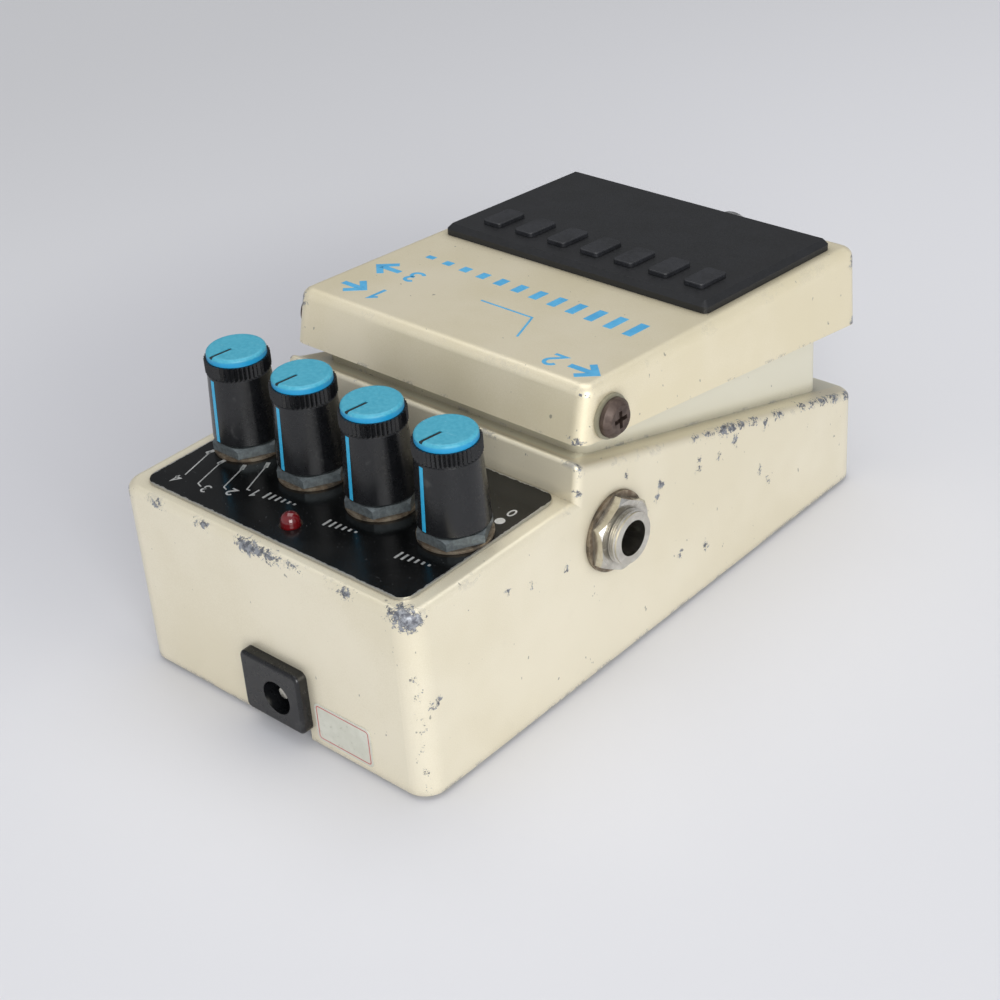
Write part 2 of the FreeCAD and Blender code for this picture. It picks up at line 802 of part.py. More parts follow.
def make_treadle():
    body = new_body("treadle")
    side = new_sketch(body, "YZ")
    outline(side, [
        ("treadle_rear_y", "skirt_rear_height"),
        ("treadle_rear_top_y", "treadle_rear_height"),
        ("treadle_toe_top_y", "treadle_toe_height"),
        ("treadle_toe_y", "skirt_toe_height"),
    ])
    pad(body, side, "treadle_width", symmetric=True)

    def rear_top(edge):
        return is_crosswise(edge) and abs(edge.BoundBox.Center.z - size("treadle_rear_height")) < NEAR

    dress(body, "Fillet", is_upright, "treadle_corner")
    dress(body, "Fillet", rear_top, "treadle_edge_round")

    rear_wall_top = "treadle_rear_top_y + treadle_rear_wall"
    below = "skirt_toe_height - overrun"
    inside = new_sketch(body, "YZ")
    outline(inside, [
        ("treadle_rear_y + treadle_rear_wall", below),
        ("treadle_rear_y + treadle_rear_wall", "skirt_rear_height"),
        (rear_wall_top, treadle_under_at(rear_wall_top)),
        ("treadle_toe_top_y - treadle_wall", treadle_under_at("treadle_toe_top_y - treadle_wall")),
        ("treadle_toe_y - treadle_wall", "skirt_toe_height"),
        ("treadle_toe_y - treadle_wall", below),
    ])
    pocket(body, inside, "treadle_width - 2 * treadle_wall", symmetric=True)

    seats = new_sketch(body, "XY", CUP_FACE)
    circle(seats, "spring_x", "spring_y", "spring_cup_radius")
    circle(seats, "switch_x", "switch_y", "presser_radius + bite")
    pad(body, seats, "spring_cup_drop + 2 * bite")
    boss = new_sketch(body, "XZ", "-thumb_boss_y")
    circle(boss, "0", "thumb_height", "thumb_boss_radius")
    pad(body, boss, "treadle_toe_y - thumb_boss_y - treadle_wall + bite", reverse=True)
    screw = new_sketch(body, "XZ", "-(treadle_toe_y + overrun)")
    circle(screw, "0", "thumb_height", "thumb_bush_radius + push_fit")
    pocket(body, screw, "treadle_toe_y - thumb_boss_y + 2 * overrun", reverse=True)
    hinge = new_sketch(body, "YZ")
    circle(hinge, "hinge_y", "hinge_height", "shoulder_radius + running_fit + bush_wall + push_fit")
    pocket(body, hinge, "treadle_width + 2 * overrun", symmetric=True)
    return node(body, "treadle")


def make_treadle_pad():
    """Rubber pad, made flat and then laid on the slope of the treadle."""
    body = new_body("treadle_pad")
    plan = new_sketch(body, "XY")
    rectangle(plan, "-pad_width / 2", "0", "pad_width / 2", "pad_length")
    pad(body, plan, "pad_thickness")

    def top_rim(edge):
        return edge.BoundBox.ZMin > size("pad_thickness") - EXACT

    dress(body, "Fillet", is_vertical, "pad_corner")
    dress(body, "Chamfer", top_rim, "pad_bevel")
    rise = size("treadle_toe_height - treadle_rear_height")
    slope = math.degrees(math.atan2(rise, size("treadle_toe_top_y - treadle_rear_top_y")))
    place(body, "0", "pad_rear_y", treadle_top_at("pad_rear_y"), Rotation(Vector(1, 0, 0), slope))
    return node(body, "treadle_pad")


# Control panel, knobs and what they turn


def make_control_panel():
    body = new_body("control_panel")
    plan = new_sketch(body, "XY", "deck_height")
    rectangle(plan, "-panel_width / 2", "panel_rear_y", "panel_width / 2", "step_foot_y - panel_front_gap")
    pad(body, plan, "panel_thickness")
    dress(body, "Fillet", is_vertical, "panel_corner")
    holes = new_sketch(body, "XY", "panel_top")
    for number in range(4):
        circle(holes, knob_x(number), "knob_y", "bushing_radius + free_gap")
    circle(holes, "lamp_x", "lamp_y", "lamp_radius + free_gap")
    pocket(body, holes, "panel_thickness")
    return node(body, "control_panel")


def make_potentiometer(name, number, round_body=False):
    """A can under the deck with a threaded bushing, bored for the shaft that turns in it."""
    x = knob_x(number)
    if round_body:
        can = rod(name + "_can", "+Z", (x, "knob_y", "pot_foot"), "pot_depth", "switch_can_radius")
    else:
        can = block(name + "_can", (x + " - pot_width / 2", "knob_y - pot_width / 2", "pot_foot"),
                    (x + " + pot_width / 2", "knob_y + pot_width / 2", "deck_underside"))
    bushing_top = "nut_top + bushing_rise"
    bushing = rod(name + "_bushing", "+Z", (x, "knob_y", "pot_foot"), bushing_top + " - pot_foot",
                  "bushing_radius")
    solid = fuse(name + "_solid", [can, bushing])
    bore = rod(name + "_bore", "+Z", (x, "knob_y", "shaft_foot - free_gap"),
               bushing_top + " - shaft_foot + overrun", "shaft_radius + running_fit")
    return node(cut(name, solid, bore), name)


def make_shaft(name, number):
    start = (knob_x(number), "knob_y", "shaft_foot")
    return node(rod(name, "+Z", start, "shaft_top - shaft_foot", "shaft_radius"), name)


def make_knob_shell():
    """Moulded knob, hollow below, with a fluted band round its top and a seat for the cap."""
    core = new_body("knob_core")
    band_low = "(knob_height - knurl_height)"
    roof = "(knob_height - cap_seat - knob_roof)"
    revolve(core, [
        ("knob_socket_radius", "0"),
        ("knob_radius - knob_foot_bevel", "0"),
        ("knob_radius", "knob_foot_bevel"),
        ("knob_radius - knob_draft", band_low + " - knob_neck"),
        ("knurl_radius - flute_depth", band_low),
        ("knurl_radius - flute_depth", "knob_height"),
        ("0", "knob_height"),
        ("0", roof),
        ("shaft_radius + push_fit", roof),
        ("shaft_radius + push_fit", "knob_socket_depth"),
        ("knob_socket_radius", "knob_socket_depth"),
    ])
    squares = []
    for step in range(FLUTES // 4):
        square = prism("knob_flutes", 4, "+Z", ("0", "0", band_low), "knurl_height", "knurl_radius")
        square.Placement = Placement(Vector(0, 0, 0), Rotation(Vector(0, 0, 1), 360 * step / FLUTES))
        squares.append(square)
    solid = fuse("knob_solid", [core, fuse("knob_band", squares)])
    seat = rod("knob_seat", "+Z", ("0", "0", "knob_height - cap_seat"), "cap_seat + overrun",
               "cap_spigot_radius + push_fit")
    return cut("knob_pattern", solid, seat)


def make_cap():
    """Coloured cap set into the knob, with a groove that points."""
    body = new_body("cap_pattern")
    spigot = new_sketch(body, "XY")
    circle(spigot, "0", "0", "cap_spigot_radius")
    pad(body, spigot, "cap_seat + bite")
    plan = new_sketch(body, "XY", "cap_seat")
    circle(plan, "0", "0", "cap_radius")
    pad(body, plan, "cap_rise")

    def top_edge(edge):
        return edge.BoundBox.ZMin > size("cap_seat + cap_rise") - EXACT

    dress(body, "Fillet", top_edge, "cap_round")
    slot = new_sketch(body, "XY", "cap_seat + cap_rise")
    rectangle(slot, "-pointer_width / 2", "-(cap_radius + overrun)", "pointer_width / 2", "-pointer_start")
    pocket(body, slot, "pointer_depth")
    return body


POINTER_TURN = Rotation(Vector(0, 0, 1), -23.5)


def set_knob(pattern, name, number, foot):
    """One of the four knobs or caps, turned to where its pointer stands."""
    copy = group(name, [pattern])
    return node(place(copy, knob_x(number), "knob_y", foot, POINTER_TURN), name)


def repeat(pattern, name, places):
    """Equal pieces at several places, as one named group of separate solids."""
    copies = []
    for number, spot in enumerate(places):
        copies.append(place(group("%s_%d" % (name, number), [pattern]), *spot))
    return node(group(name, copies), name)


def ring(name, axis, start, length, outer, inner):
    disc = rod(name + "_disc", axis, start, length, outer)
    return cut(name, disc, through_hole(name, axis, start, length, inner))


def through_hole(name, axis, start, length, radius):
    """A rod that runs past both ends of what it cuts."""
    sign = axis[0].replace("+", "")
    before = [part + " - (%soverrun)" % sign if letter == axis[1] else part
              for letter, part in zip("XYZ", start)]
    return rod(name + "_hole", axis, before, "(" + length + ") + 2 * overrun", radius)


def nut(name, axis, start, length, flats, bore):
    """A hexagon nut with its corners turned off on the outer face."""
    corner_radius = "(" + flats + ") / sqrt(3)"
    bar = prism(name + "_bar", 6, axis, start, length, corner_radius)
    turning = taper(name + "_turning", axis, start, length, corner_radius + " + nut_turn",
                    "(" + flats + ") / 2 + nut_land")
    blank = common(name + "_blank", [bar, turning])
    return cut(name, blank, through_hole(name, axis, start, length, bore))


def make_controls():
    make_control_panel()
    make_potentiometer("mode_switch", 0, round_body=True)
    make_potentiometer("delay_time_pot", 1)
    make_potentiometer("feedback_pot", 2)
    make_potentiometer("effect_level_pot", 3)
    washer = ring("pot_washer", "+Z", ("0", "0", "0"), "pot_washer_thickness", "pot_washer_radius",
                  "bushing_radius + free_gap")
    pot_nut = nut("pot_nut", "+Z", ("0", "0", "0"), "pot_nut_thickness", "pot_nut_flats",
                  "bushing_radius + push_fit")
    spots = [knob_x(number) for number in range(4)]
    repeat(washer, "pot_washers", [(x, "knob_y", "panel_top") for x in spots])
    repeat(pot_nut, "pot_nuts", [(x, "knob_y", "panel_top + pot_washer_thickness") for x in spots])
    shell = make_knob_shell()
    cap = make_cap()
    for number, title in enumerate(("mode", "delay_time", "feedback", "effect_level")):
        make_shaft(title + "_shaft", number)
        set_knob(shell, title + "_knob", number, "knob_foot")
        set_knob(cap, title + "_cap", number, "cap_foot")
    make_lamp()


def make_lamp():
    """Round lamp on two legs, standing on the small board."""
    tip = "panel_top + lamp_rise - lamp_radius"
    barrel = rod("lamp_barrel", "+Z", ("lamp_x", "lamp_y", "lamp_seat"), tip + " - lamp_seat",
                 "lamp_radius")
    dome = doc.addObject("Part::Sphere", "lamp_dome")
    dome.setExpression("Radius", formula("lamp_radius"))
    place(dome, "lamp_x", "lamp_y", tip)
    legs = [rod("lamp_leg_%s" % side, "+Z", ("lamp_x " + offset, "lamp_y", "pot_foot"),
                "lamp_seat - pot_foot + bite", "lamp_leg_radius")
            for side, offset in (("left", "- lamp_leg_pitch / 2"), ("right", "+ lamp_leg_pitch / 2"))]
    return node(fuse("check_lamp", [barrel, dome] + legs), "check_lamp")


# Jacks, power inlet


def make_jack(name, direction, y, height):
    """The moulded body of a jack behind the wall, with a well for its sleeve and a plug's room."""
    sign = direction[0].replace("+", "")
    inward = "-X" if direction == "+X" else "+X"
    face = sign + "inner_wall"
    ends = [sign + "(inner_wall - jack_body_length)", face]
    if sign:
        ends.reverse()
    half_y = "jack_body_width / 2"
    half_z = "jack_body_height / 2"
    case = block(name + "_case", (ends[0], y + " - " + half_y, height + " - " + half_z),
                 (ends[1], y + " + " + half_y, height + " + " + half_z))
    well = rod(name + "_well", inward, (face, y, height), "sleeve_sunk", "jack_bushing_radius + push_fit")
    start = (sign + "(inner_wall - sleeve_sunk)", y, height)
    cavity = rod(name + "_cavity", inward, start, "jack_cavity_length", "jack_cavity_radius")
    return node(cut(name, case, fuse(name + "_hollow", [well, cavity])), name)


def make_jacks():
    """Three jacks with their sleeves, washers and nuts: one on the right wall, two on the left."""
    make_jack("output_jack", "+X", "jack_y", "jack_height")
    make_jack("input_jack", "-X", "jack_y", "jack_height")
    make_jack("stereo_jack", "-X", "second_jack_y", "second_jack_height")
    sleeves = []
    washers = []
    nuts = []
    for direction, y, height in (("+X", "jack_y", "jack_height"), ("-X", "jack_y", "jack_height"),
                                 ("-X", "second_jack_y", "second_jack_height")):
        sign = direction[0].replace("+", "")
        start = (sign + "(inner_wall - sleeve_sunk)", y, height)
        sleeves.append(ring("jack_sleeve", direction, start, "jack_bore_length", "jack_bushing_radius",
                            "jack_bore"))
        washers.append(ring("jack_washer", direction, (sign + "(casting_width / 2)", y, height),
                            "jack_washer_thickness", "jack_washer_radius", "jack_bushing_radius + push_fit"))
        start = (sign + "(casting_width / 2 + jack_washer_thickness)", y, height)
        nuts.append(nut("jack_nut", direction, start, "jack_nut_thickness", "jack_nut_flats",
                        "jack_bushing_radius + push_fit"))
    node(group("jack_sleeves", sleeves), "jack_sleeves")
    node(group("jack_washers", washers), "jack_washers")
    node(group("jack_nuts", nuts), "jack_nuts")


def make_power_inlet():
    """Moulded inlet: a rounded face outside, a body through the notch in the wall."""
    body = new_body("power_inlet")
    face = new_sketch(body, "XZ", "casting_length / 2")
    rectangle(face, "inlet_x - inlet_width / 2", "inlet_bottom", "inlet_x + inlet_width / 2", "inlet_top")
    pad(body, face, "inlet_rise")

    def corner(edge):
        box = edge.BoundBox
        return box.XLength < EXACT and box.ZLength < EXACT

    def front(edge):
        return edge.BoundBox.YMax < EXACT - size("inlet_face")

    dress(body, "Fillet", corner, "inlet_corner")
    dress(body, "Fillet", front, "inlet_edge_round")
    inner = new_sketch(body, "XZ", "casting_length / 2")
    rectangle(inner, "inlet_x - inlet_body_width / 2", "inlet_bottom",
              "inlet_x + inlet_body_width / 2", "inlet_body_top")
    pad(body, inner, "inlet_body_depth", reverse=True)
    hole = new_sketch(body, "XZ", "inlet_face")
    circle(hole, "inlet_x + inlet_hole_shift", "inlet_hole_height", "inlet_hole_radius")
    pocket(body, hole, "inlet_hole_depth")
    root = new_sketch(body, "XZ", "inlet_face")
    circle(root, "inlet_x + inlet_hole_shift", "inlet_hole_height", "power_stem_radius + push_fit")
    pocket(body, root, "inlet_hole_depth + power_stem_root")
    return node(body, "power_inlet")


def make_power_pin():
    """The contact that goes into the plug, on a thinner stem held in the moulding."""
    x = "inlet_x + inlet_hole_shift"
    contact = rod("power_contact", "+Y", (x, "power_pin_setback - inlet_face", "inlet_hole_height"),
                  "power_pin_length", "power_pin_radius")
    stem_y = "power_pin_setback + power_pin_length - bite - inlet_face"
    stem = rod("power_stem", "+Y", (x, stem_y, "inlet_hole_height"),
               "bite + power_stem_gap + power_stem_root", "power_stem_radius")
    return node(fuse("power_pin", [contact, stem]), "power_pin")


# Underside


def base_plate(name, low, thickness, hole_radius):
    body = new_body(name)
    plan = new_sketch(body, "XY", low)
    half_x = "(inner_wall - plate_gap)"
    half_y = "(casting_length / 2 - wall - plate_gap)"
    rectangle(plan, "-" + half_x, "-" + half_y, half_x, half_y)
    pad(body, plan, thickness)
    dress(body, "Fillet", is_vertical, "corner_radius - wall")
    holes = new_sketch(body, "XY", low)
    for sign_x in ("-", ""):
        for sign_y in ("-", ""):
            circle(holes, sign_x + "screw_x", sign_y + "screw_y", hole_radius)
    pocket(body, holes, thickness, reverse=True)
    return body


def make_base():
    node(base_plate("rubber_sole", "0", "sole_thickness", "sole_hole_radius"), "rubber_sole")
    blank = base_plate("bottom_plate_blank", "sole_thickness", "plate_thickness", "screw_radius + free_gap")
    sinks = []
    screws = []
    for sign_x in ("-", ""):
        for sign_y in ("-", ""):
            spot = (sign_x + "screw_x", sign_y + "screw_y")
            sinks.append(taper("screw_sink", "+Z", spot + ("sole_thickness",), "plate_thickness",
                               "screw_head_radius + running_fit", "screw_radius + running_fit"))
            screws.append(countersunk_screw(spot))
    node(cut("bottom_plate", blank, fuse("screw_sinks", sinks)), "bottom_plate")
    node(group("bottom_screws", screws), "bottom_screws")
    half_sheet = "(board_width / 2 - sheet_inset)"
    node(block("insulating_sheet", ("-" + half_sheet, "board_rear_y + sheet_rear_inset", "plate_top"),
               (half_sheet, "board_front_y", "plate_top + sheet_thickness")), "insulating_sheet")


def countersunk_screw(spot):
    head = taper("bottom_screw_head", "+Z", spot + ("sole_thickness",), "plate_thickness",
                 "screw_head_radius", "screw_radius")
    shank = rod("bottom_screw_shank", "+Z", spot + ("sole_thickness",), "plate_thickness + screw_length",
                "screw_radius")
    solid = fuse("bottom_screw_solid", [head, shank])
    return cut("bottom_screw", solid, cross_recess(spot, "sole_thickness"))


def cross_recess(spot, z):
    """Two crossed bars sunk into a head that faces down."""
    x, y = spot
    bars = []
    for half_x, half_y in (("screw_recess_reach", "screw_recess_half"),
                           ("screw_recess_half", "screw_recess_reach")):
        bars.append(block("recess_bar", (x + " - " + half_x, y + " - " + half_y, z + " - overrun"),
                          (x + " + " + half_x, y + " + " + half_y, z + " + screw_recess_depth")))
    return fuse("recess", bars)


# Boards and what stands on them


def make_boards():
    node(block("main_board", ("-board_width / 2", "board_rear_y", "board_bottom"),
               ("board_width / 2", "board_front_y", "board_top")), "main_board")
    low = "(pot_foot - board_thickness)"
    board = block("control_board_plate", ("-board_width / 2", "control_board_rear_y", low),
                  ("board_width / 2", "control_board_front_y", "pot_foot"))
    tongue = block("control_board_tongue",
                   ("lamp_x - lamp_tongue_width / 2", "lamp_y - lamp_tongue_reach", low),
                   ("lamp_x + lamp_tongue_width / 2", "control_board_rear_y + bite", "pot_foot"))
    node(fuse("control_board", [board, tongue]), "control_board")
    chips = []
    for x, y, half_x, half_y in CHIPS:
        centre_x, centre_y = on_board(x, y)
        low_corner = (centre_x + " - " + half_x, centre_y + " - " + half_y, "board_top")
        high_corner = (centre_x + " + " + half_x, centre_y + " + " + half_y, "board_top + chip_height")
        chips.append(block("chip", low_corner, high_corner))
    node(group("delay_chips", chips), "delay_chips")
    cans = []
    for x, y, radius, height in CAPACITORS:
        cans.append(rod("capacitor", "+Z", on_board(x, y) + ("board_top",), height, radius))
    node(group("board_capacitors", cans), "board_capacitors")


def on_board(x, y):
    """A place on the main board as shares of half its width and half the casting's length."""
    return "(%s * board_width / 2)" % x, "(%s * casting_length / 2)" % y


# Centre x and y as shares, half the length across, half the length along
CHIPS = (
    (-0.32, -0.48, "delay_chip_length / 2", "delay_chip_width / 2"),
    (-0.45, -0.13, "memory_width / 2", "memory_length / 2"),
    (0.06, -0.13, "memory_width / 2", "memory_length / 2"),
    (0.58, -0.13, "memory_width / 2", "memory_length / 2"),
    (-0.26, 0.29, "amplifier_length / 2", "amplifier_width / 2"),
    (0.39, 0.29, "amplifier_length / 2", "amplifier_width / 2"),
)

# Centre x and y as shares, radius, height
CAPACITORS = (
    (0.58, -0.51, "capacitor_radius", "capacitor_height"),
    (0.8, -0.38, "large_capacitor_radius", "capacitor_height"),
    (-0.8, -0.25, "capacitor_radius", "low_capacitor_height"),
    (0.82, 0.19, "capacitor_radius", "low_capacitor_height"),
    (-0.77, 0.35, "capacitor_radius", "capacitor_height"),
    (0.0, 0.48, "large_capacitor_radius", "capacitor_height"),
    (0.45, 0.54, "capacitor_radius", "low_capacitor_height"),
)


# Foot switch, spring and battery


def make_foot_switch():
    half = "switch_width / 2"
    low = ("switch_x - " + half, "switch_y - " + half, "floor_underside - switch_height")
    high = ("switch_x + " + half, "switch_y + " + half, "floor_underside")
    housing = block("foot_switch_housing", low, high)
    well_foot = "plunger_foot - switch_travel - free_gap"
    well = rod("foot_switch_well", "+Z", ("switch_x", "switch_y", well_foot), "switch_height",
               "plunger_radius + running_fit")
    node(cut("foot_switch", housing, well), "foot_switch")
    node(rod("switch_plunger", "+Z", ("switch_x", "switch_y", "plunger_foot"),
             "plunger_top - plunger_foot", "plunger_radius"), "switch_plunger")
    bottom = "(plunger_top + presser_gap)"
    node(rod("switch_presser", "+Z", ("switch_x", "switch_y", bottom), CUP_FACE + " - " + bottom,
             "presser_radius"), "switch_presser")


def helix_stations(radius, turns, low, high):
    """Points at even steps on a helix about Z, each with its direction of travel."""
    climb = (high - low) / (2 * math.pi * turns)
    stations = []
    for step in range(STATIONS_PER_TURN * turns + 1):
        angle = 2 * math.pi * step / STATIONS_PER_TURN
        point = Vector(radius * math.cos(angle), radius * math.sin(angle), low + climb * angle)
        travel = Vector(-radius * math.sin(angle), radius * math.cos(angle), climb)
        stations.append((point, travel.normalize()))
    return stations


def arc_leaving(start, travel, end):
    """The arc from start, leaving along travel, that ends at end."""
    chord = end - start
    lean = (travel + chord.normalize()).normalize()
    reach = (end - start).Length / (2 * lean.dot(travel))
    return Part.Arc(start, start + lean * reach, end)


def biarc(start, leaving, end, arriving):
    """Two arcs with one tangent where they meet."""
    span = end - start
    total = leaving + arriving
    bend = 2 * (1 - leaving.dot(arriving))
    along_total = span.dot(total)
    reach = (math.sqrt(along_total ** 2 + bend * span.dot(span)) - along_total) / bend
    meet = (start + leaving * reach + end - arriving * reach) * 0.5
    first = arc_leaving(start, leaving, meet)
    second = arc_leaving(end, arriving * -1, meet)
    return [first.toShape(), second.toShape()]


def least_gap(radius, turns, low, high, wire):
    """Least clear distance between the wire and its neighbour, measured on points."""
    per_turn = 72
    points = []
    for step in range(per_turn * turns + 1):
        angle = 2 * math.pi * step / per_turn
        height = low + (high - low) * step / (per_turn * turns)
        points.append(Vector(radius * math.cos(angle), radius * math.sin(angle), height))
    least = min((first - second).Length for i, first in enumerate(points)
                for second in points[i + per_turn // 2:])
    return least - 2 * wire


def make_return_spring():
    """A coil of round wire between the floor's post and the treadle's cup."""
    wire = size("spring_wire")
    radius = size("spring_radius")
    low = size("floor_height") + wire
    high = size(CUP_FACE) - wire
    turns = max(1, round((high - low) / size("spring_pitch")))
    stations = helix_stations(radius, turns, low, high)
    arcs = []
    for (start, leaving), (end, arriving) in zip(stations, stations[1:]):
        arcs += biarc(start, leaving, end, arriving)
    path = doc.addObject("Part::Feature", "spring_path")
    path.Shape = Part.Wire(Part.__sortEdges__(arcs))
    section = doc.addObject("Part::Circle", "spring_section")
    section.setExpression("Radius", formula("spring_wire"))
    section.Placement = Placement(stations[0][0], Rotation(Vector(0, 0, 1), stations[0][1]))
    coil = doc.addObject("Part::Sweep", "spring_coil")
    coil.Sections = [section]
    coil.Spine = (path, ["Edge%d" % (i + 1) for i in range(len(arcs))])
    coil.Solid = True
    coil.Frenet = False
    gap = least_gap(radius, turns, low, high, wire)
    print("return spring, least gap between turns: %.2f mm" % gap)
    if gap < LEAST_TURN_GAP:
        raise RuntimeError("the turns of the return spring are too close")
    return node(place(group("return_spring", [coil]), "spring_x", "spring_y"), "return_spring")


def make_battery():
    rear = "(bay_rear_y + battery_gap)"
    end = "(battery_left_x + battery_length)"
    middle_y = "(" + rear + " + battery_width / 2)"
    middle_z = "(bay_floor_height + battery_height / 2)"
    case = new_body("battery_case")
    section = new_sketch(case, "YZ", "battery_left_x")
    rectangle(section, rear, "bay_floor_height", rear + " + battery_width",
              "bay_floor_height + battery_height")
    pad(case, section, "battery_length")

    def along_case(edge):
        box = edge.BoundBox
        return box.YLength < EXACT and box.ZLength < EXACT

    dress(case, "Fillet", along_case, "battery_round")
    terminals = []
    holes = []
    for side in ("-", "+"):
        y = middle_y + " " + side + " terminal_pitch / 2"
        start = (end + " - bite", y, middle_z)
        terminals.append(rod("battery_terminal", "+X", start, "terminal_length + bite", "terminal_radius"))
        holes.append(rod("snap_socket", "+X", start, "terminal_length + bite + free_gap",
                         "terminal_radius + push_fit"))
    node(fuse("battery", [case] + terminals), "battery")
    half_y = "snap_width"
    shell = block("snap_shell", (end, middle_y + " - " + half_y, middle_z + " - snap_width / 2"),
                  (end + " + snap_thickness", middle_y + " + " + half_y, middle_z + " + snap_width / 2"))
    node(cut("battery_snap", shell, fuse("snap_sockets", holes)), "battery_snap")


def make_foam():
    body = new_body("battery_foam")
    side = new_sketch(body, "YZ")
    outline(side, [
        ("foam_rear_y", "foam_bottom"),
        ("foam_front_y", "foam_bottom"),
        ("foam_front_y", treadle_under_at("foam_front_y")),
        ("foam_rear_y", treadle_under_at("foam_rear_y")),
    ])
    pad(body, side, "foam_width", symmetric=True)
    return node(body, "battery_foam")


# Hinge and thumbscrew


def make_hinge():
    """On each side a flanged bush in the treadle and the shouldered screw it turns on."""
    screws = []
    bushes = []
    for direction, sign in (("+X", ""), ("-X", "-")):
        outside = (sign + "(treadle_width / 2)", "hinge_y", "hinge_height")
        inside = (sign + "(treadle_width / 2 - treadle_wall)", "hinge_y", "hinge_height")
        sleeve = rod("bush_sleeve", direction, inside, "treadle_wall",
                     "shoulder_radius + running_fit + bush_wall")
        flange = rod("bush_flange", direction, outside, "hinge_flange_thickness", "hinge_flange_radius")
        hole = through_hole("bush", direction, inside, "treadle_wall + hinge_flange_thickness",
                            "shoulder_radius + running_fit")
        bushes.append(cut("hinge_bush", fuse("hinge_bush_solid", [sleeve, flange]), hole))
        screws.append(hinge_screw(direction, sign))
    node(group("hinge_bushes", bushes), "hinge_bushes")
    node(group("hinge_screws", screws), "hinge_screws")


def hinge_screw(direction, sign):
    """Shouldered screw: the treadle turns on the shoulder, the thread sits in the casting."""
    def on_axis(x):
        return (sign + "(" + x + ")", "hinge_y", "hinge_height")

    shoulder = rod("hinge_shoulder", direction, on_axis("tub_width / 2"),
                   "hinge_head_foot - tub_width / 2", "shoulder_radius")
    thread = rod("hinge_thread", direction, on_axis("tub_width / 2 - thread_length"),
                 "thread_length + bite", "thread_radius")
    rim = rod("hinge_rim", direction, on_axis("hinge_head_foot"), "hinge_rim_thickness",
              "hinge_head_radius")
    crown = taper("hinge_crown", direction, on_axis("hinge_head_foot + hinge_rim_thickness"),
                  "hinge_crown_thickness", "hinge_head_radius", "hinge_crown_radius")
    solid = fuse("hinge_screw_solid", [shoulder, thread, rim, crown])
    top = "hinge_head_foot + hinge_rim_thickness + hinge_crown_thickness"
    ends = [sign + "(" + top + " - hinge_recess_depth)", sign + "(" + top + " + overrun)"]
    if sign:
        ends.reverse()
    bars = []
    for half_y, half_z in (("hinge_recess_reach", "hinge_recess_half"),
                           ("hinge_recess_half", "hinge_recess_reach")):
        bars.append(block("hinge_recess_bar", (ends[0], "hinge_y - " + half_y, "hinge_height - " + half_z),
                          (ends[1], "hinge_y + " + half_y, "hinge_height + " + half_z)))
    return cut("hinge_screw", solid, fuse("hinge_recess", bars))


def make_thumbscrew():
    """Captive screw through the toe of the treadle, shown unscrewed."""
    def on_axis(y):
        return ("0", y, "thumb_height")

    node(ring("thumbscrew_bush", "+Y", on_axis("thumb_boss_y"), "bush_face_y - thumb_boss_y",
              "thumb_bush_radius", "thumb_radius + running_fit"), "thumbscrew_bush")
    shank_y = "(thumb_nose_tip_y + thumb_nose_length)"
    nose = rod("thumb_nose", "+Y", on_axis("thumb_nose_tip_y"), "thumb_nose_length + bite",
               "thumb_nose_radius")
    shank = rod("thumb_shank", "+Y", on_axis(shank_y), "thumb_head_y - " + shank_y + " + bite",
                "thumb_radius")
    head = rod("thumb_head", "+Y", on_axis("thumb_head_y"), "thumb_head_thickness", "thumb_head_radius")
    face_y = "thumb_head_y + thumb_head_thickness"
    slot = block("thumb_slot", ("-(thumb_head_radius + overrun)", face_y + " - thumb_slot_depth",
                                "thumb_height - thumb_slot_width / 2"),
                 ("thumb_head_radius + overrun", face_y + " + overrun",
                  "thumb_height + thumb_slot_width / 2"))
    node(cut("thumbscrew", fuse("thumbscrew_solid", [nose, shank, head]), slot), "thumbscrew")
    clip_y = "thumb_boss_y - clip_gap - clip_thickness"
    node(ring("thumbscrew_clip", "+Y", on_axis(clip_y), "clip_thickness", "clip_radius",
              "thumb_nose_radius + running_fit"), "thumbscrew_clip")


make_chassis()
make_treadle()
make_treadle_pad()
make_controls()
make_jacks()
make_power_inlet()
make_power_pin()
make_base()
make_boards()
make_foot_switch()
make_return_spring()
make_battery()
make_foam()
make_hinge()
make_thumbscrew()


def finish():
    """Check every object, then write each sub-part to its own file."""
    doc.recompute()
    faults = []
    for item in doc.Objects:
        if {"Invalid", "Error"} & set(item.State):
            faults.append(item.Name + " is " + ", ".join(item.State))
    for item in NODES:
        shape = item.Shape
        if shape.isNull() or not shape.isValid() or not shape.Solids:
            faults.append(item.Label + " has no valid solid")
    if faults:
        raise RuntimeError("; ".join(faults))
    os.makedirs("parts", exist_ok=True)
    for item in NODES:
        item.Shape.exportStep(os.path.join("parts", item.Label + ".step"))
    print(len(NODES), "sub-parts written")


finish()
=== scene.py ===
import json
import math

import bmesh
import bpy
from mathutils import Matrix, Vector
from mathutils.bvhtree import BVHTree


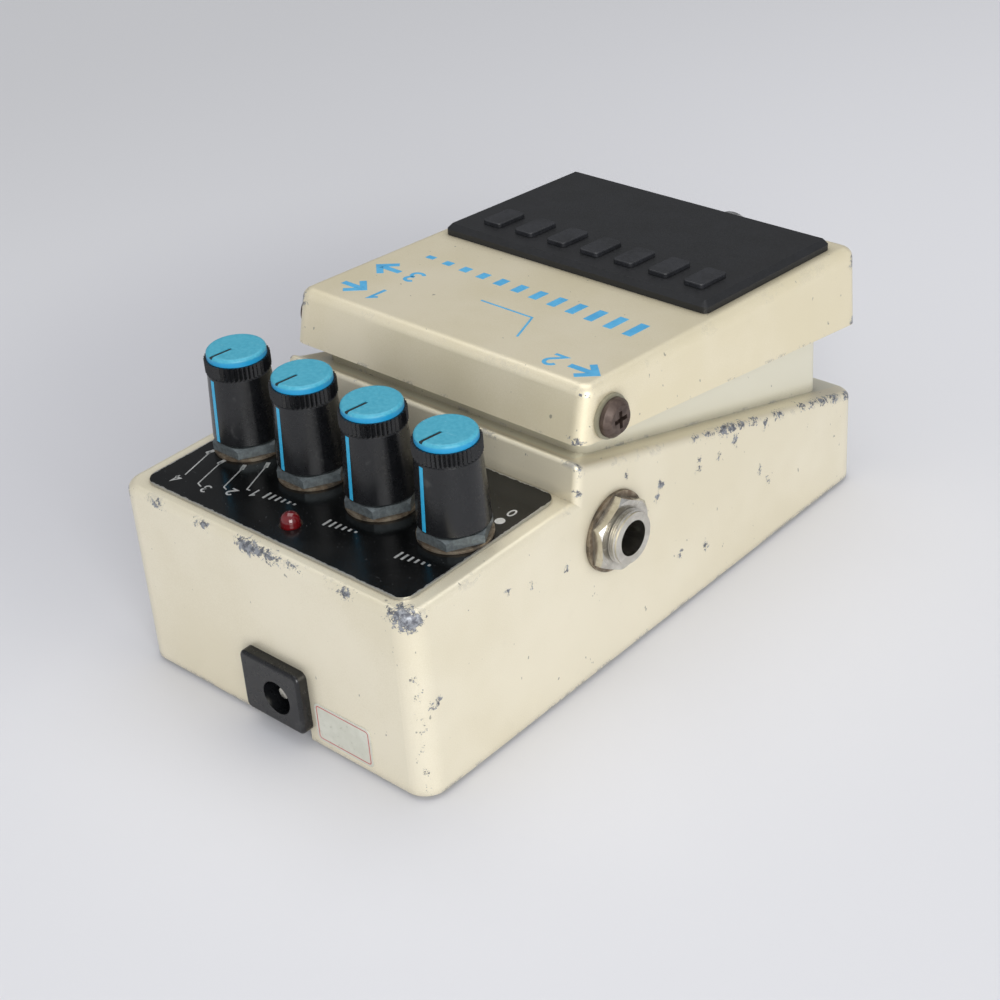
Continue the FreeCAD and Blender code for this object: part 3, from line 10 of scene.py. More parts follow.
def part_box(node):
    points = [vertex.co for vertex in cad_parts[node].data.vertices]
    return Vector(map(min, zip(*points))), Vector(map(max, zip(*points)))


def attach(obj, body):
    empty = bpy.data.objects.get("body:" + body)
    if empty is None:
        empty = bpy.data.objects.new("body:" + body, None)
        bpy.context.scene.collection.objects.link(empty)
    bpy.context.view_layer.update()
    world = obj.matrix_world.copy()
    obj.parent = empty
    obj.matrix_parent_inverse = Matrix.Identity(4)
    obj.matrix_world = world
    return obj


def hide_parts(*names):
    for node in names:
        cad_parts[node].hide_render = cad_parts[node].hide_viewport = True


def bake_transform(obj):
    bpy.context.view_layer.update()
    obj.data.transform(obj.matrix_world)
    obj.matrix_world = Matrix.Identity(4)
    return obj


# Looks for the digital delay pedal: finishes, printing, wear, small pieces, light and camera.
# Metres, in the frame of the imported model: Z up, -Y the knob end, +Y the player's end, and +X the
# side with one output jack. Places read off the photograph are in millimetres, times MM.

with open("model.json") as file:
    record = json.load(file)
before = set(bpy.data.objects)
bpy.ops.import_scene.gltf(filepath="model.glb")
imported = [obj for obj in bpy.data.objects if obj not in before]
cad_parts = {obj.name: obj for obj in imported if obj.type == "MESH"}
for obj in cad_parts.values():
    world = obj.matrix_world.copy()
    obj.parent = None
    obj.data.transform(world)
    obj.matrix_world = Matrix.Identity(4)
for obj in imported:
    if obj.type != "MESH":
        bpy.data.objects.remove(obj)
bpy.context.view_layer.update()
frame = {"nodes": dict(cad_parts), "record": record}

MM = 0.001
CONTROLS = ("mode", "delay_time", "feedback", "effect_level")

# Rays down on the object start here, above all of it
ABOVE = 0.1
DOWN = Vector((0, 0, -1))

# Each knob's pointer, turned about the vertical from the knob end: in the CAD caps, and as photographed
CAD_POINTER_TURN = math.radians(-23.5)
POINTER_TURN = math.radians(-8.0)

# Paint loss, in millimetres, as read off the photograph.
# On a side: how far along, how high, and how wide. Both sides share the list, knocked alike.
SIDE_CHIPS = [
    (-21.4, 43.8, 1.1), (-22.3, 38.6, 0.7), (-9.6, 35.8, 0.7), (-0.2, 29.3, 0.8), (11.0, 34.4, 0.9),
    (10.8, 27.3, 0.6), (17.2, 32.5, 0.6), (12.6, 10.0, 0.7), (-26.1, 26.1, 0.5), (4.9, 12.1, 0.5),
    (16.8, 26.9, 0.5), (-35.0, 28.0, 0.4), (-40.6, 29.8, 0.4), (-1.3, 27.4, 0.5), (-59.7, 18.6, 0.7),
    (-58.4, 19.0, 0.5), (-62.3, 2.4, 1.0), (21.9, 27.7, 0.8), (31.4, 26.3, 0.8), (29.8, 17.3, 0.6),
    (11.2, 28.7, 0.5), (32.4, 13.8, 0.5), (62.5, 14.0, 1.0), (62.5, 7.3, 0.9), (62.5, 1.5, 1.2),
]
# Along the top edge of each side, from the step to the toe: how far along, and how wide
LEDGE_CHIPS = [
    (10.5, 0.7), (15.0, 0.8), (19.5, 1.3), (21.5, 1.4), (24.5, 1.1), (29.0, 1.0), (36.5, 0.9),
    (44.7, 0.8), (48.0, 0.9), (51.5, 1.2), (55.5, 1.1), (60.5, 1.3),
]
# On the upright corners of the knob end: how high, and how wide
CORNER_CHIPS = [(24.5, 0.7), (20.8, 0.8), (16.5, 0.7), (13.6, 0.8), (10.8, 0.6), (9.9, 0.7), (5.8, 0.9)]
# Along the top edge of the knob end: how far across, and how wide
REAR_EDGE_CHIPS = [
    (-25.0, 0.8), (-13.4, 1.0), (-1.9, 1.9), (-0.2, 1.3), (3.3, 1.2), (4.8, 0.9), (8.6, 0.7),
    (20.6, 1.0), (21.3, 0.8),
]
# At the ends of that edge, and on the treadle: across, along, high, and wide
NEAR_CORNER_CHIP = (33.2, -61.6, 35.6, 2.1)
FAR_CORNER_CHIP = (-33.6, -62.0, 35.2, 1.0)
TREADLE_CHIPS = [
    (-34.0, -17.4, 54.0, 1.6), (34.0, -18.2, 54.9, 1.2), (33.0, -19.8, 46.3, 1.0), (34.2, 61.4, 47.6, 1.1),
    (34.2, 62.4, 35.0, 1.4), (-12.0, -19.6, 54.6, 0.9), (6.5, -19.6, 54.8, 0.8), (-34.2, 62.0, 48.0, 1.0),
]
# How far the spots' centres lie inside the faces that they break, and the height of the rear edge
CORNER_INSET = 0.6
CORNER_Y = -62.4
LEDGE_INSET = 0.3
LEDGE_DROP = 0.2
REAR_EDGE_Y = -62.8
REAR_EDGE_Z = 36.2

# The tub under the treadle, which kept its paler paint: half its width, and its end towards the knobs
TUB_HALF_WIDTH = 0.0312
TUB_END = -0.0185

# Parts of a noise's range, from dark to light grain and from smooth to rough
GRAIN = (0.35, 0.65)
SHEEN = (0.3, 0.7)


# Shader nodes


class Graph:
    """One material's node tree, built by short calls."""

    def __init__(self, name):
        self.material = bpy.data.materials.new(name)
        self.material.use_nodes = True
        self.tree = self.material.node_tree
        self.tree.nodes.clear()
        self.output = self.add("OutputMaterial")
        self.shader = self.add("BsdfPrincipled")
        self.link(self.shader.outputs["BSDF"], self.output.inputs["Surface"])
        self.place = self.add("TexCoord").outputs["Object"]
        split = self.add("SeparateXYZ")
        self.link(self.place, split.inputs[0])
        self.x, self.y, self.z = split.outputs

    def add(self, kind):
        return self.tree.nodes.new("ShaderNode" + kind)

    def link(self, start, end):
        self.tree.links.new(start, end)

    def put(self, value, socket):
        """Link an output, or set a constant, on a socket."""
        if isinstance(value, bpy.types.NodeSocket):
            self.link(value, socket)
        else:
            socket.default_value = value

    def set(self, **values):
        """Set inputs of the main shader, with underscores for spaces."""
        for key, value in values.items():
            self.put(value, self.shader.inputs[key.replace("_", " ")])

    def noise(self, scale, detail=3.0, rough=0.55, stretch=(1, 1, 1), output="Fac"):
        vector = self.place
        if stretch != (1, 1, 1):
            mapping = self.add("Mapping")
            mapping.inputs["Scale"].default_value = stretch
            self.link(self.place, mapping.inputs["Vector"])
            vector = mapping.outputs["Vector"]
        node = self.add("TexNoise")
        node.inputs["Scale"].default_value = scale
        node.inputs["Detail"].default_value = detail
        node.inputs["Roughness"].default_value = rough
        self.link(vector, node.inputs["Vector"])
        return node.outputs[output]

    def math(self, operation, a, b=0.0, clamp=False):
        node = self.add("Math")
        node.operation = operation
        node.use_clamp = clamp
        self.put(a, node.inputs[0])
        self.put(b, node.inputs[1])
        return node.outputs[0]

    def plus(self, a, b):
        return self.math("ADD", a, b)

    def minus(self, a, b):
        return self.math("SUBTRACT", a, b)

    def times(self, a, b):
        return self.math("MULTIPLY", a, b)

    def larger(self, a, b):
        return self.math("MAXIMUM", a, b)

    def vector(self, operation, a, b=(0, 0, 0), output=0):
        node = self.add("VectorMath")
        node.operation = operation
        self.put(a, node.inputs[0])
        self.put(b, node.inputs[1])
        return node.outputs[output]

    def scaled(self, vector, size):
        node = self.add("VectorMath")
        node.operation = "SCALE"
        self.put(vector, node.inputs[0])
        node.inputs["Scale"].default_value = size
        return node.outputs[0]

    def step(self, value, low, high, to_low=0.0, to_high=1.0):
        """Map a range to another, smoothly."""
        node = self.add("MapRange")
        node.interpolation_type = "SMOOTHSTEP"
        self.put(value, node.inputs["Value"])
        node.inputs["From Min"].default_value = low
        node.inputs["From Max"].default_value = high
        node.inputs["To Min"].default_value = to_low
        node.inputs["To Max"].default_value = to_high
        return node.outputs["Result"]

    def mix(self, factor, first, second):
        node = self.add("Mix")
        node.data_type = "RGBA"
        self.put(factor, node.inputs["Factor"])
        self.put(first, node.inputs["A"])
        self.put(second, node.inputs["B"])
        return node.outputs["Result"]

    def bump(self, height, strength, distance, normal=None):
        node = self.add("Bump")
        node.inputs["Strength"].default_value = strength
        node.inputs["Distance"].default_value = distance
        self.link(height, node.inputs["Height"])
        if normal is not None:
            self.link(normal, node.inputs["Normal"])
        return node.outputs["Normal"]

    def edges(self, radius):
        """About 1 within radius of a sharp edge, and 0 on the open faces."""
        bevel = self.add("Bevel")
        bevel.samples = 2
        bevel.inputs["Radius"].default_value = radius
        flat = self.add("NewGeometry").outputs["True Normal"]
        agreement = self.vector("DOT_PRODUCT", bevel.outputs["Normal"], flat, "Value")
        return self.step(agreement, 0.995, 0.93)

    def recesses(self, reach):
        """Near 1 in the open, and lower in gaps and inside corners."""
        node = self.add("AmbientOcclusion")
        node.samples = 2
        node.inputs["Distance"].default_value = reach
        return node.outputs["AO"]

    def spots(self, places, squeeze, both_sides):
        """Above 0 inside any of the spots, given as (x, y, z, radius) in mm, with ragged outlines.
        An axis squeezed below 1 makes the spots longer along it. On both sides, -X has those of +X."""
        wander = self.vector("SUBTRACT", self.noise(620, 3.0, 0.65, output="Color"), (0.5, 0.5, 0.5))
        place = self.vector("ADD", self.place, self.scaled(wander, 2.2 * MM))
        if both_sides:
            place = self.vector("MAXIMUM", place, self.vector("MULTIPLY", place, (-1, 1, 1)))
        place = self.vector("MULTIPLY", place, squeeze)
        field = None
        for x, y, z, radius in places:
            centre = [value * MM * share for value, share in zip((x, y, z), squeeze)]
            inside = self.minus(radius * MM, self.vector("DISTANCE", place, centre, "Value"))
            field = inside if field is None else self.larger(field, inside)
        return field


def surface_of(name):
    """A CAD node's faces, ready for finding where a ray meets them."""
    mesh = frame["nodes"][name].data
    return BVHTree.FromPolygons([v.co for v in mesh.vertices], [list(p.vertices) for p in mesh.polygons])


def height_on(surface, x, y):
    """How high a surface is at this place, seen from above."""
    return surface.ray_cast(Vector((x, y, ABOVE)), DOWN)[0].z


def middle_of(name):
    """The middle of a CAD node's box."""
    low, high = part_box(name)
    return (low + high) / 2


def linear(text, alpha=1.0):
    """A colour such as D8C8A0 as linear values."""
    parts = [int(text[i:i + 2], 16) / 255 for i in (0, 2, 4)]
    return tuple(p / 12.92 if p <= 0.04045 else ((p + 0.055) / 1.055) ** 2.4 for p in parts) + (alpha,)


# Finishes. A noise's scale is in waves to the metre.


def plain_finish(name, dark, light, grain, roughness, spread=0.08, metallic=0.0, relief=0.03 * MM):
    """A finish of two near colours with grain in colour, roughness and relief."""
    g = Graph(name)
    broad = g.noise(grain * 0.12, 2.0)
    fine = g.noise(grain, 4.0)
    mixed = g.plus(g.times(broad, 0.6), g.times(fine, 0.4))
    g.set(Base_Color=g.mix(g.step(mixed, *GRAIN), linear(dark), linear(light)))
    g.set(Roughness=g.step(fine, *SHEEN, roughness - spread, roughness + spread))
    g.set(Normal=g.bump(fine, 0.35, relief), Metallic=metallic)
    return g.material


def worn_metal(name, dark, light, dirt_and_shade_colour, grain, roughness, amount=0.5, metallic=0.9):
    """Plated metal with grime in blotches, and grime and painted shade darkening its recesses."""
    g = Graph(name)
    fine = g.noise(grain, 4.0)
    blotch = g.noise(grain * 0.4, 3.0, 0.6)
    metal = g.mix(g.step(fine, *GRAIN), linear(dark), linear(light))
    # Painted shade with grime: recesses found by ambient occlusion darken towards the same colour as the
    # blotches
    shade = g.step(g.recesses(1.2 * MM), 0.35, 0.95, 1.0, 0.0)
    dirt_and_shade = g.math("MULTIPLY", g.plus(g.step(blotch, 0.5, 0.75), shade), amount, clamp=True)
    g.set(Base_Color=g.mix(dirt_and_shade, metal, linear(dirt_and_shade_colour)))
    g.set(Roughness=g.step(g.plus(dirt_and_shade, g.times(fine, 0.5)), 0.1, 1.2, roughness, 0.65))
    g.set(Metallic=g.step(dirt_and_shade, 0.0, 1.0, metallic, 0.25))
    g.set(Normal=g.bump(fine, 0.3, 0.02 * MM))
    return g.material


def chassis_chips():
    """Groups of spots on the chassis, each with its squeeze and whether -X has them too."""
    side_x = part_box("chassis")[1].x / MM
    surface = surface_of("chassis")
    past_rounding = 1.5
    sides = [(side_x, y, z, r) for y, z, r in SIDE_CHIPS]
    corners = [(side_x - CORNER_INSET, CORNER_Y, z, r) for z, r in CORNER_CHIPS]
    ledge = []
    for y, r in LEDGE_CHIPS:
        top = height_on(surface, (side_x - past_rounding) * MM, y * MM) / MM
        ledge.append((side_x - LEDGE_INSET, y, top - LEDGE_DROP, 0.85 * r))
    rear = [(x, REAR_EDGE_Y, REAR_EDGE_Z, 0.8 * r) for x, r in REAR_EDGE_CHIPS]
    rear += [NEAR_CORNER_CHIP, FAR_CORNER_CHIP]
    return [(sides, (1, 1.1, 0.9), True), (corners, (1, 1, 0.8), True),
            (ledge, (1, 0.55, 1), True), (rear, (0.55, 1, 1), False)]


def chipped(g, chips):
    """1 where paint is knocked off, in these groups of spots."""
    ragged = g.times(g.minus(g.noise(1250, 5.0, 0.8), 0.515), 6 * MM)
    mask = None
    for places, squeeze, both_sides in chips:
        group = g.step(g.plus(g.spots(places, squeeze, both_sides), ragged), 0.0, 0.14 * MM)
        mask = group if mask is None else g.larger(mask, group)
    return mask


def rubbed(g):
    """1 where edges are rubbed bare, more so low down and towards the toe."""
    uneven = g.plus(g.times(g.noise(150, 2.0, 0.5), 0.55), g.times(g.noise(900, 4.0, 0.7), 0.45))
    low_down = g.step(g.z, 4 * MM, 1.5 * MM, 0.0, 0.03)
    to_toe = g.step(g.y, 0.0, 30 * MM, 0.0, 0.03)
    wear = g.plus(uneven, g.plus(low_down, to_toe))
    return g.times(g.edges(1 * MM), g.step(wear, 0.555, 0.585))


def pearl_paint(name, dark, light, chips, tub):
    """Old cream pearl paint: fine flake, yellowed, grime and painted shade in the recesses, chipped to the
    metal.
    """
    g = Graph(name)
    flake = g.noise(5200, 2.0, 0.5)
    broad = g.noise(38, 3.0, 0.55)
    tone = g.step(g.plus(g.times(flake, 0.35), g.times(broad, 0.65)), 0.38, 0.62)
    paint = g.mix(tone, linear(dark), linear(light))
    if tub:
        across = g.math("LESS_THAN", g.math("ABSOLUTE", g.x), TUB_HALF_WIDTH)
        inside = g.times(across, g.math("GREATER_THAN", g.y, TUB_END))
        paint = g.mix(g.times(inside, 0.8), paint, linear("DFDCC9"))
    # Grime and painted shade: darker towards 6E6450 in gaps and inside corners, found by ambient occlusion
    uneven = g.times(g.minus(g.noise(240, 4.0, 0.6), 0.5), 0.5)
    shade_and_grime = g.step(g.plus(g.recesses(2.2 * MM), uneven), 0.45, 0.95, 1.0, 0.0)
    paint = g.mix(g.times(shade_and_grime, 0.45), paint, linear("6E6450"))
    speck = g.step(g.noise(760, 2.0, 0.6, stretch=(1, 1, 0.6)), 0.725, 0.75)
    paint = g.mix(g.times(speck, 0.65), paint, linear("77766E"))
    loss = g.larger(chipped(g, chips), rubbed(g))
    metal = g.mix(g.step(g.noise(1100, 3.0, 0.7), 0.4, 0.6), linear("6A6C72"), linear("A0A3A7"))
    g.set(Base_Color=g.mix(loss, paint, metal))
    g.set(Metallic=g.step(loss, 0.0, 1.0, 0.38, 0.7))
    g.set(Roughness=g.plus(g.step(flake, *SHEEN, 0.36, 0.44), g.times(loss, 0.12)))
    g.set(Coat_Weight=0.25, Coat_Roughness=0.16)
    peel = g.bump(g.noise(1300, 2.0, 0.5), 0.25, 0.02 * MM)
    g.set(Normal=g.bump(g.minus(1.0, loss), 0.7, 0.06 * MM, peel))
    return g.material


def panel_finish():
    """Black gloss plate with a worn, bright cut edge, fine scratches and dust."""
    g = Graph("black_panel")
    low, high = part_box("control_panel")
    middle, half = (low + high) / 2, (high - low) / 2
    across = g.minus(g.math("ABSOLUTE", g.minus(g.x, middle.x)), half.x)
    along = g.minus(g.math("ABSOLUTE", g.minus(g.y, middle.y)), half.y)
    ragged = g.times(g.minus(g.noise(900, 4.0, 0.75), 0.5), 0.9 * MM)
    rim = g.step(g.plus(g.larger(across, along), ragged), -0.3 * MM, -0.22 * MM)
    normal = g.add("SeparateXYZ")
    g.link(g.add("NewGeometry").outputs["True Normal"], normal.inputs[0])
    bare = g.larger(rim, g.math("LESS_THAN", normal.outputs[2], 0.5))
    scratch = g.step(g.noise(330, 4.0, 0.8, stretch=(1, 9, 1)), 0.66, 0.72)
    dust = g.step(g.noise(2100, 2.0, 0.6), 0.7, 0.78)
    marks = g.larger(g.times(scratch, 0.16), g.times(dust, 0.35))
    black = g.mix(marks, linear("050606"), linear("8A8C8E"))
    g.set(Base_Color=g.mix(bare, black, linear("B9B8B2")))
    g.set(Metallic=g.step(bare, 0.0, 1.0, 0.0, 0.85))
    g.set(Roughness=g.plus(g.step(g.noise(120, 3.0), *SHEEN, 0.17, 0.26), g.times(bare, 0.15)))
    g.set(Normal=g.bump(g.noise(260, 3.0, 0.6, stretch=(1, 5, 1)), 0.12, 0.02 * MM))
    return g.material


def knob_finish():
    """Glossy black moulding, with rubbed places."""
    g = Graph("black_moulding")
    fine = g.noise(1700, 4.0, 0.6)
    rub = g.noise(210, 4.0, 0.7)
    base = g.mix(g.step(fine, *GRAIN), linear("0D0E10"), linear("131416"))
    g.set(Base_Color=g.mix(g.times(g.step(rub, 0.62, 0.75), 0.1), base, linear("8F8F8C")))
    g.set(Roughness=g.step(rub, *SHEEN, 0.24, 0.3))
    g.set(Normal=g.bump(fine, 0.1, 0.01 * MM))
    return g.material


def cap_finish():
    """Blue knob cap, paler and matt on top, with scuffs, and brighter at the rim."""
    g = Graph("blue_cap")
    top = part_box("mode_cap")[1].z
    rim = g.step(g.z, top - 0.3 * MM, top - 0.8 * MM)
    fine = g.noise(1500, 4.0, 0.6)
    scuff = g.step(g.noise(420, 4.0, 0.75, stretch=(1, 3, 1)), 0.6, 0.72)
    face = g.mix(g.step(fine, *GRAIN), linear("3E9DB6"), linear("4CA8BF"))
    face = g.mix(g.times(scuff, 0.35), face, linear("8CC4D0"))
    g.set(Base_Color=g.mix(rim, face, linear("1F93C4")))
    g.set(Roughness=g.step(fine, *SHEEN, 0.36, 0.5))
    g.set(Normal=g.bump(fine, 0.3, 0.03 * MM))
    return g.material


def battery_finish():
    """A nine-volt block's foil sleeve: black, with a copper end."""
    g = Graph("battery_case")
    fine = g.noise(900, 3.0)
    copper = g.step(g.x, 7.8 * MM, 8.2 * MM)
    body = g.mix(g.step(fine, *SHEEN), linear("17181A"), linear("202124"))
    g.set(Base_Color=g.mix(copper, body, linear("A9743C")))
    g.set(Metallic=g.step(copper, 0.0, 1.0, 0.1, 0.75))
    g.set(Roughness=g.step(fine, *SHEEN, 0.28, 0.38))
    g.set(Normal=g.bump(g.noise(160, 2.0), 0.2, 0.05 * MM))
    return g.material


def board_finish():
    """Circuit board with copper tracks under green lacquer."""
    g = Graph("circuit_board")
    cells = g.add("TexVoronoi")
    cells.distance = "CHEBYCHEV"
    cells.inputs["Scale"].default_value = 260
    g.link(g.place, cells.inputs["Vector"])
    track = g.step(cells.outputs["Distance"], 0.36, 0.4)
    fine = g.noise(800, 3.0)
    lacquer = g.mix(fine, linear("0E4528"), linear("14583A"))
    g.set(Base_Color=g.mix(g.times(track, 0.6), lacquer, linear("2C7A48")))
    g.set(Roughness=g.step(fine, *SHEEN, 0.3, 0.45))
    g.set(Normal=g.bump(track, 0.4, 0.03 * MM))
    return g.material


def lens_finish():
    """Dark red glassy moulding, unlit."""
    g = Graph("red_lens")
    fine = g.noise(500, 2.0)
    g.set(Base_Color=g.mix(fine, linear("4A080C"), linear("720E14")))
    g.set(Roughness=g.step(fine, *SHEEN, 0.06, 0.14))
    g.set(Coat_Weight=0.6, Coat_Roughness=0.05)
    g.set(Normal=g.bump(fine, 0.05, 0.02 * MM))
    return g.material


FINISHES = {
    "cream_paint": pearl_paint("cream_paint", "E2D9BF", "EAE2CB", chassis_chips(), True),
    "black_panel": panel_finish(),
    "bare_plate": plain_finish("bare_plate", "8E8D88", "A5A49E", 700, 0.42, metallic=0.9),
    "sole_rubber": plain_finish("sole_rubber", "161616", "222222", 1400, 0.8),
    "pad_rubber": plain_finish("pad_rubber", "0F1012", "151619", 1600, 0.5, 0.06, relief=0.04 * MM),
    "zinc_steel": plain_finish("zinc_steel", "A09E98", "BAB8B0", 800, 0.35, metallic=1.0),
    "aged_steel": worn_metal("aged_steel", "483A32", "5E5048", "2A1D17", 700, 0.48, 0.6, 0.4),
    "nickel": worn_metal("nickel", "C6C2B8", "DAD7CE", "5E5340", 500, 0.2, 0.3, 1.0),
    "washer_steel": worn_metal("washer_steel", "7C6A55", "A39682", "2B2620", 900, 0.4, 0.75, 0.6),
    "nut_grey": worn_metal("nut_grey", "5A6163", "6E7678", "3A3630", 1500, 0.36, 0.2, 0.45),
    "shaft_aluminium": plain_finish("shaft_aluminium", "B4B4B4", "CACACA", 700, 0.35, metallic=1.0),
    "black_moulding": knob_finish(),
    "jack_moulding": plain_finish("jack_moulding", "101113", "1C1D20", 900, 0.55),
    "blue_cap": cap_finish(),
    "red_lens": lens_finish(),
    "circuit_board": board_finish(),
    "chip_black": plain_finish("chip_black", "121212", "1E1E1E", 1200, 0.6),
    "capacitor_sleeve": plain_finish("capacitor_sleeve", "141B45", "1F2A60", 600, 0.3),
    "insulating_card": plain_finish("insulating_card", "C2B990", "D0C8A2", 900, 0.8),
    "spring_steel": plain_finish("spring_steel", "8C8C8A", "A8A8A6", 900, 0.3, metallic=1.0),
    "battery_case": battery_finish(),
    "foam_grey": plain_finish("foam_grey", "2C2C2C", "3E3E3E", 1800, 0.95, relief=0.2 * MM),
    "nylon_bush": plain_finish("nylon_bush", "7E7A66", "918D78", 900, 0.5),
    "plunger_white": plain_finish("plunger_white", "D2D2CA", "E0E0DA", 600, 0.4),
    "presser_rubber": plain_finish("presser_rubber", "1C1C1C", "2A2A2A", 1400, 0.75),
}
TREADLE_PAINT = pearl_paint("treadle_paint", "E4D9B9", "ECE2C7", [(TREADLE_CHIPS, (0.8, 1, 1), False)], False)
BARE_PRINT = plain_finish("bare_print", "BDBEBC", "DADAD8", 2400, 0.42, metallic=0.75)
BLUE_PRINT = plain_finish("blue_print", "4AA2D2", "5AB0DC", 1800, 0.45)
INDEX_BLUE = plain_finish("index_blue", "2AA0CC", "3CACD4", 1200, 0.35)
POINTER_BLACK = plain_finish("pointer_black", "0A0B0C", "141517", 1500, 0.5)
RUBBED_RUBBER = plain_finish("rubbed_rubber", "17181B", "232428", 1300, 0.5, 0.08)
RED_PRINT = plain_finish("red_print", "B4605C", "BE6C68", 1200, 0.45)
STICKER_PAPER = plain_finish("sticker_paper", "C2C2B4", "D0D0C4", 900, 0.35)


def dress(name, material):
    """Give a CAD node a material."""
    slots = frame["nodes"][name].data.materials
    slots.clear()
    slots.append(material)


for part in frame["record"]["subparts"]:
    dress(part["node"], FINISHES[part["material_slot"]])
dress("treadle", TREADLE_PAINT)


# Small pieces


class Solid:
    """A mesh of closed bodies, collected and then made into one piece."""

    def __init__(self):
        self.points, self.faces = [], []

    def layers(self, rings, faces_of):
        first = len(self.points)
        for ring in rings:
            self.points.extend(ring)
        self.faces.extend([first + i for i in face] for face in faces_of)

    def slab(self, outline, low, high, lay):
        """A flat body with this outline, from low to high above the surface that lay gives."""
        count = len(outline)
        faces = [list(range(count)), list(range(2 * count - 1, count - 1, -1))]
        faces += [[i, i + count, (i + 1) % count + count, (i + 1) % count] for i in range(count)]
        self.layers([[lay(x, y, high) for x, y in outline], [lay(x, y, low) for x, y in outline]], faces)

    def stroke(self, line, width, low, high, lay, closed=False):
        """A line of this width, with mitred corners, from low to high above a surface."""
        points = [Vector(p) for p in line]
        count = len(points)
        left, right = [], []
        for i, point in enumerate(points):
            runs = []
            if i or closed:
                runs.append((point - points[i - 1]).normalized())
            if i < count - 1 or closed:
                runs.append((points[(i + 1) % count] - point).normalized())
            run = sum(runs, Vector((0, 0))).normalized()
            side = Vector((-run.y, run.x))
            reach = width / 2 / max(0.45, abs(side.dot(Vector((-runs[0].y, runs[0].x)))))
            left.append(point + side * reach)
            right.append(point - side * reach)
        if not closed:
            self.slab(left + right[::-1], low, high, lay)
            return
        corners = ((left, low), (right, low), (right, high), (left, high))
        rings = [[lay(p.x, p.y, height) for p in side] for side, height in corners]
        faces = []
        for i in range(count):
            j = (i + 1) % count
            for a in range(4):
                b = (a + 1) % 4
                faces.append([a * count + i, a * count + j, b * count + j, b * count + i])
        self.layers(rings, faces)

    def turned(self, profile, place, axis, steps=64):
        """A closed profile of (radius, along) pairs, turned about an axis through place."""
        axis = Vector(axis)
        across = axis.orthogonal().normalized()
        other = axis.cross(across)
        count = len(profile)
        rings = []
        for step in range(steps):
            angle = 2 * math.pi * step / steps
            out = across * math.cos(angle) + other * math.sin(angle)
            rings.append([Vector(place) + out * r + axis * h for r, h in profile])
        faces = []
        for step in range(steps):
            here, there = step * count, (step + 1) % steps * count
            for i in range(count):
                j = (i + 1) % count
                faces.append([here + i, here + j, there + j, there + i])
        self.layers(rings, faces)

    def make(self, name, body, material, smooth=False):
        """The collected bodies as one piece that rides on a body of the model."""
        mesh = bpy.data.meshes.new(name)
        mesh.from_pydata([tuple(p) for p in self.points], [], self.faces)
        work = bmesh.new()
        work.from_mesh(mesh)
        bmesh.ops.recalc_face_normals(work, faces=work.faces)
        work.to_mesh(mesh)
        work.free()
        mesh.materials.append(material)
        if smooth:
            mesh.polygons.foreach_set("use_smooth", [True] * len(mesh.polygons))
        piece = bpy.data.objects.new(name, mesh)
        bpy.context.collection.objects.link(piece)
        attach(piece, body)
        return piece


def arc(cx, cy, rx, ry, start, end, steps=12):
    """Points on an ellipse, angles in degrees."""
    angles = [math.radians(start + (end - start) * i / steps) for i in range(steps + 1)]
    return [(cx + rx * math.cos(a), cy + ry * math.sin(a)) for a in angles]


def rounded_box(x0, y0, x1, y1, radius, steps=6):
    """Outline of a rectangle with rounded corners."""
    left, right, low, high = x0 + radius, x1 - radius, y0 + radius, y1 - radius
    outline = []
    for cx, cy, start in ((right, high, 0), (left, high, 90), (left, low, 180), (right, low, 270)):
        outline += arc(cx, cy, radius, radius, start, start + 90, steps)
    return outline


def draped(name):
    """A function that gives points over a CAD node's upper surface."""
    surface = surface_of(name)

    def lay(x, y, rise):
        return Vector((x, y, height_on(surface, x, y) + rise))

    return lay


# Plain figures as strokes in a box 0.6 wide and 1 high
FIGURES = {
    "0": [arc(0.3, 0.5, 0.28, 0.48, 0, 345, 23)],
    "1": [[(0.08, 0.74), (0.34, 1.0), (0.34, 0.0)]],
    "2": [arc(0.3, 0.7, 0.27, 0.28, 165, -40) + [(0.03, 0.04), (0.6, 0.04)]],
    "3": [arc(0.28, 0.75, 0.25, 0.23, 150, -90), arc(0.28, 0.27, 0.29, 0.25, 90, -150)],
    "4": [[(0.46, 0.0), (0.46, 0.98), (0.04, 0.3), (0.64, 0.3)]],
}

# Ink reaches this far into and out of what it is printed on
PRINT_LOW, PRINT_HIGH = -0.03 * MM, 0.03 * MM


def figure(solid, text, x, y, height, width, lay):
    """A figure that reads from the player's end, its right at -X and its top at -Y.
    x and y are its middle, and width is that of its strokes, in mm."""
    for line in FIGURES[text]:
        points = [((x - (a - 0.3) * height) * MM, (y - (b - 0.5) * height) * MM) for a, b in line]
        solid.stroke(points, width * MM, PRINT_LOW, PRINT_HIGH, lay, closed=text == "0")


def ink(solid, points, width, lay):
    """A printed line, in mm."""
    solid.stroke([(x * MM, y * MM) for x, y in points], width * MM, PRINT_LOW, PRINT_HIGH, lay)


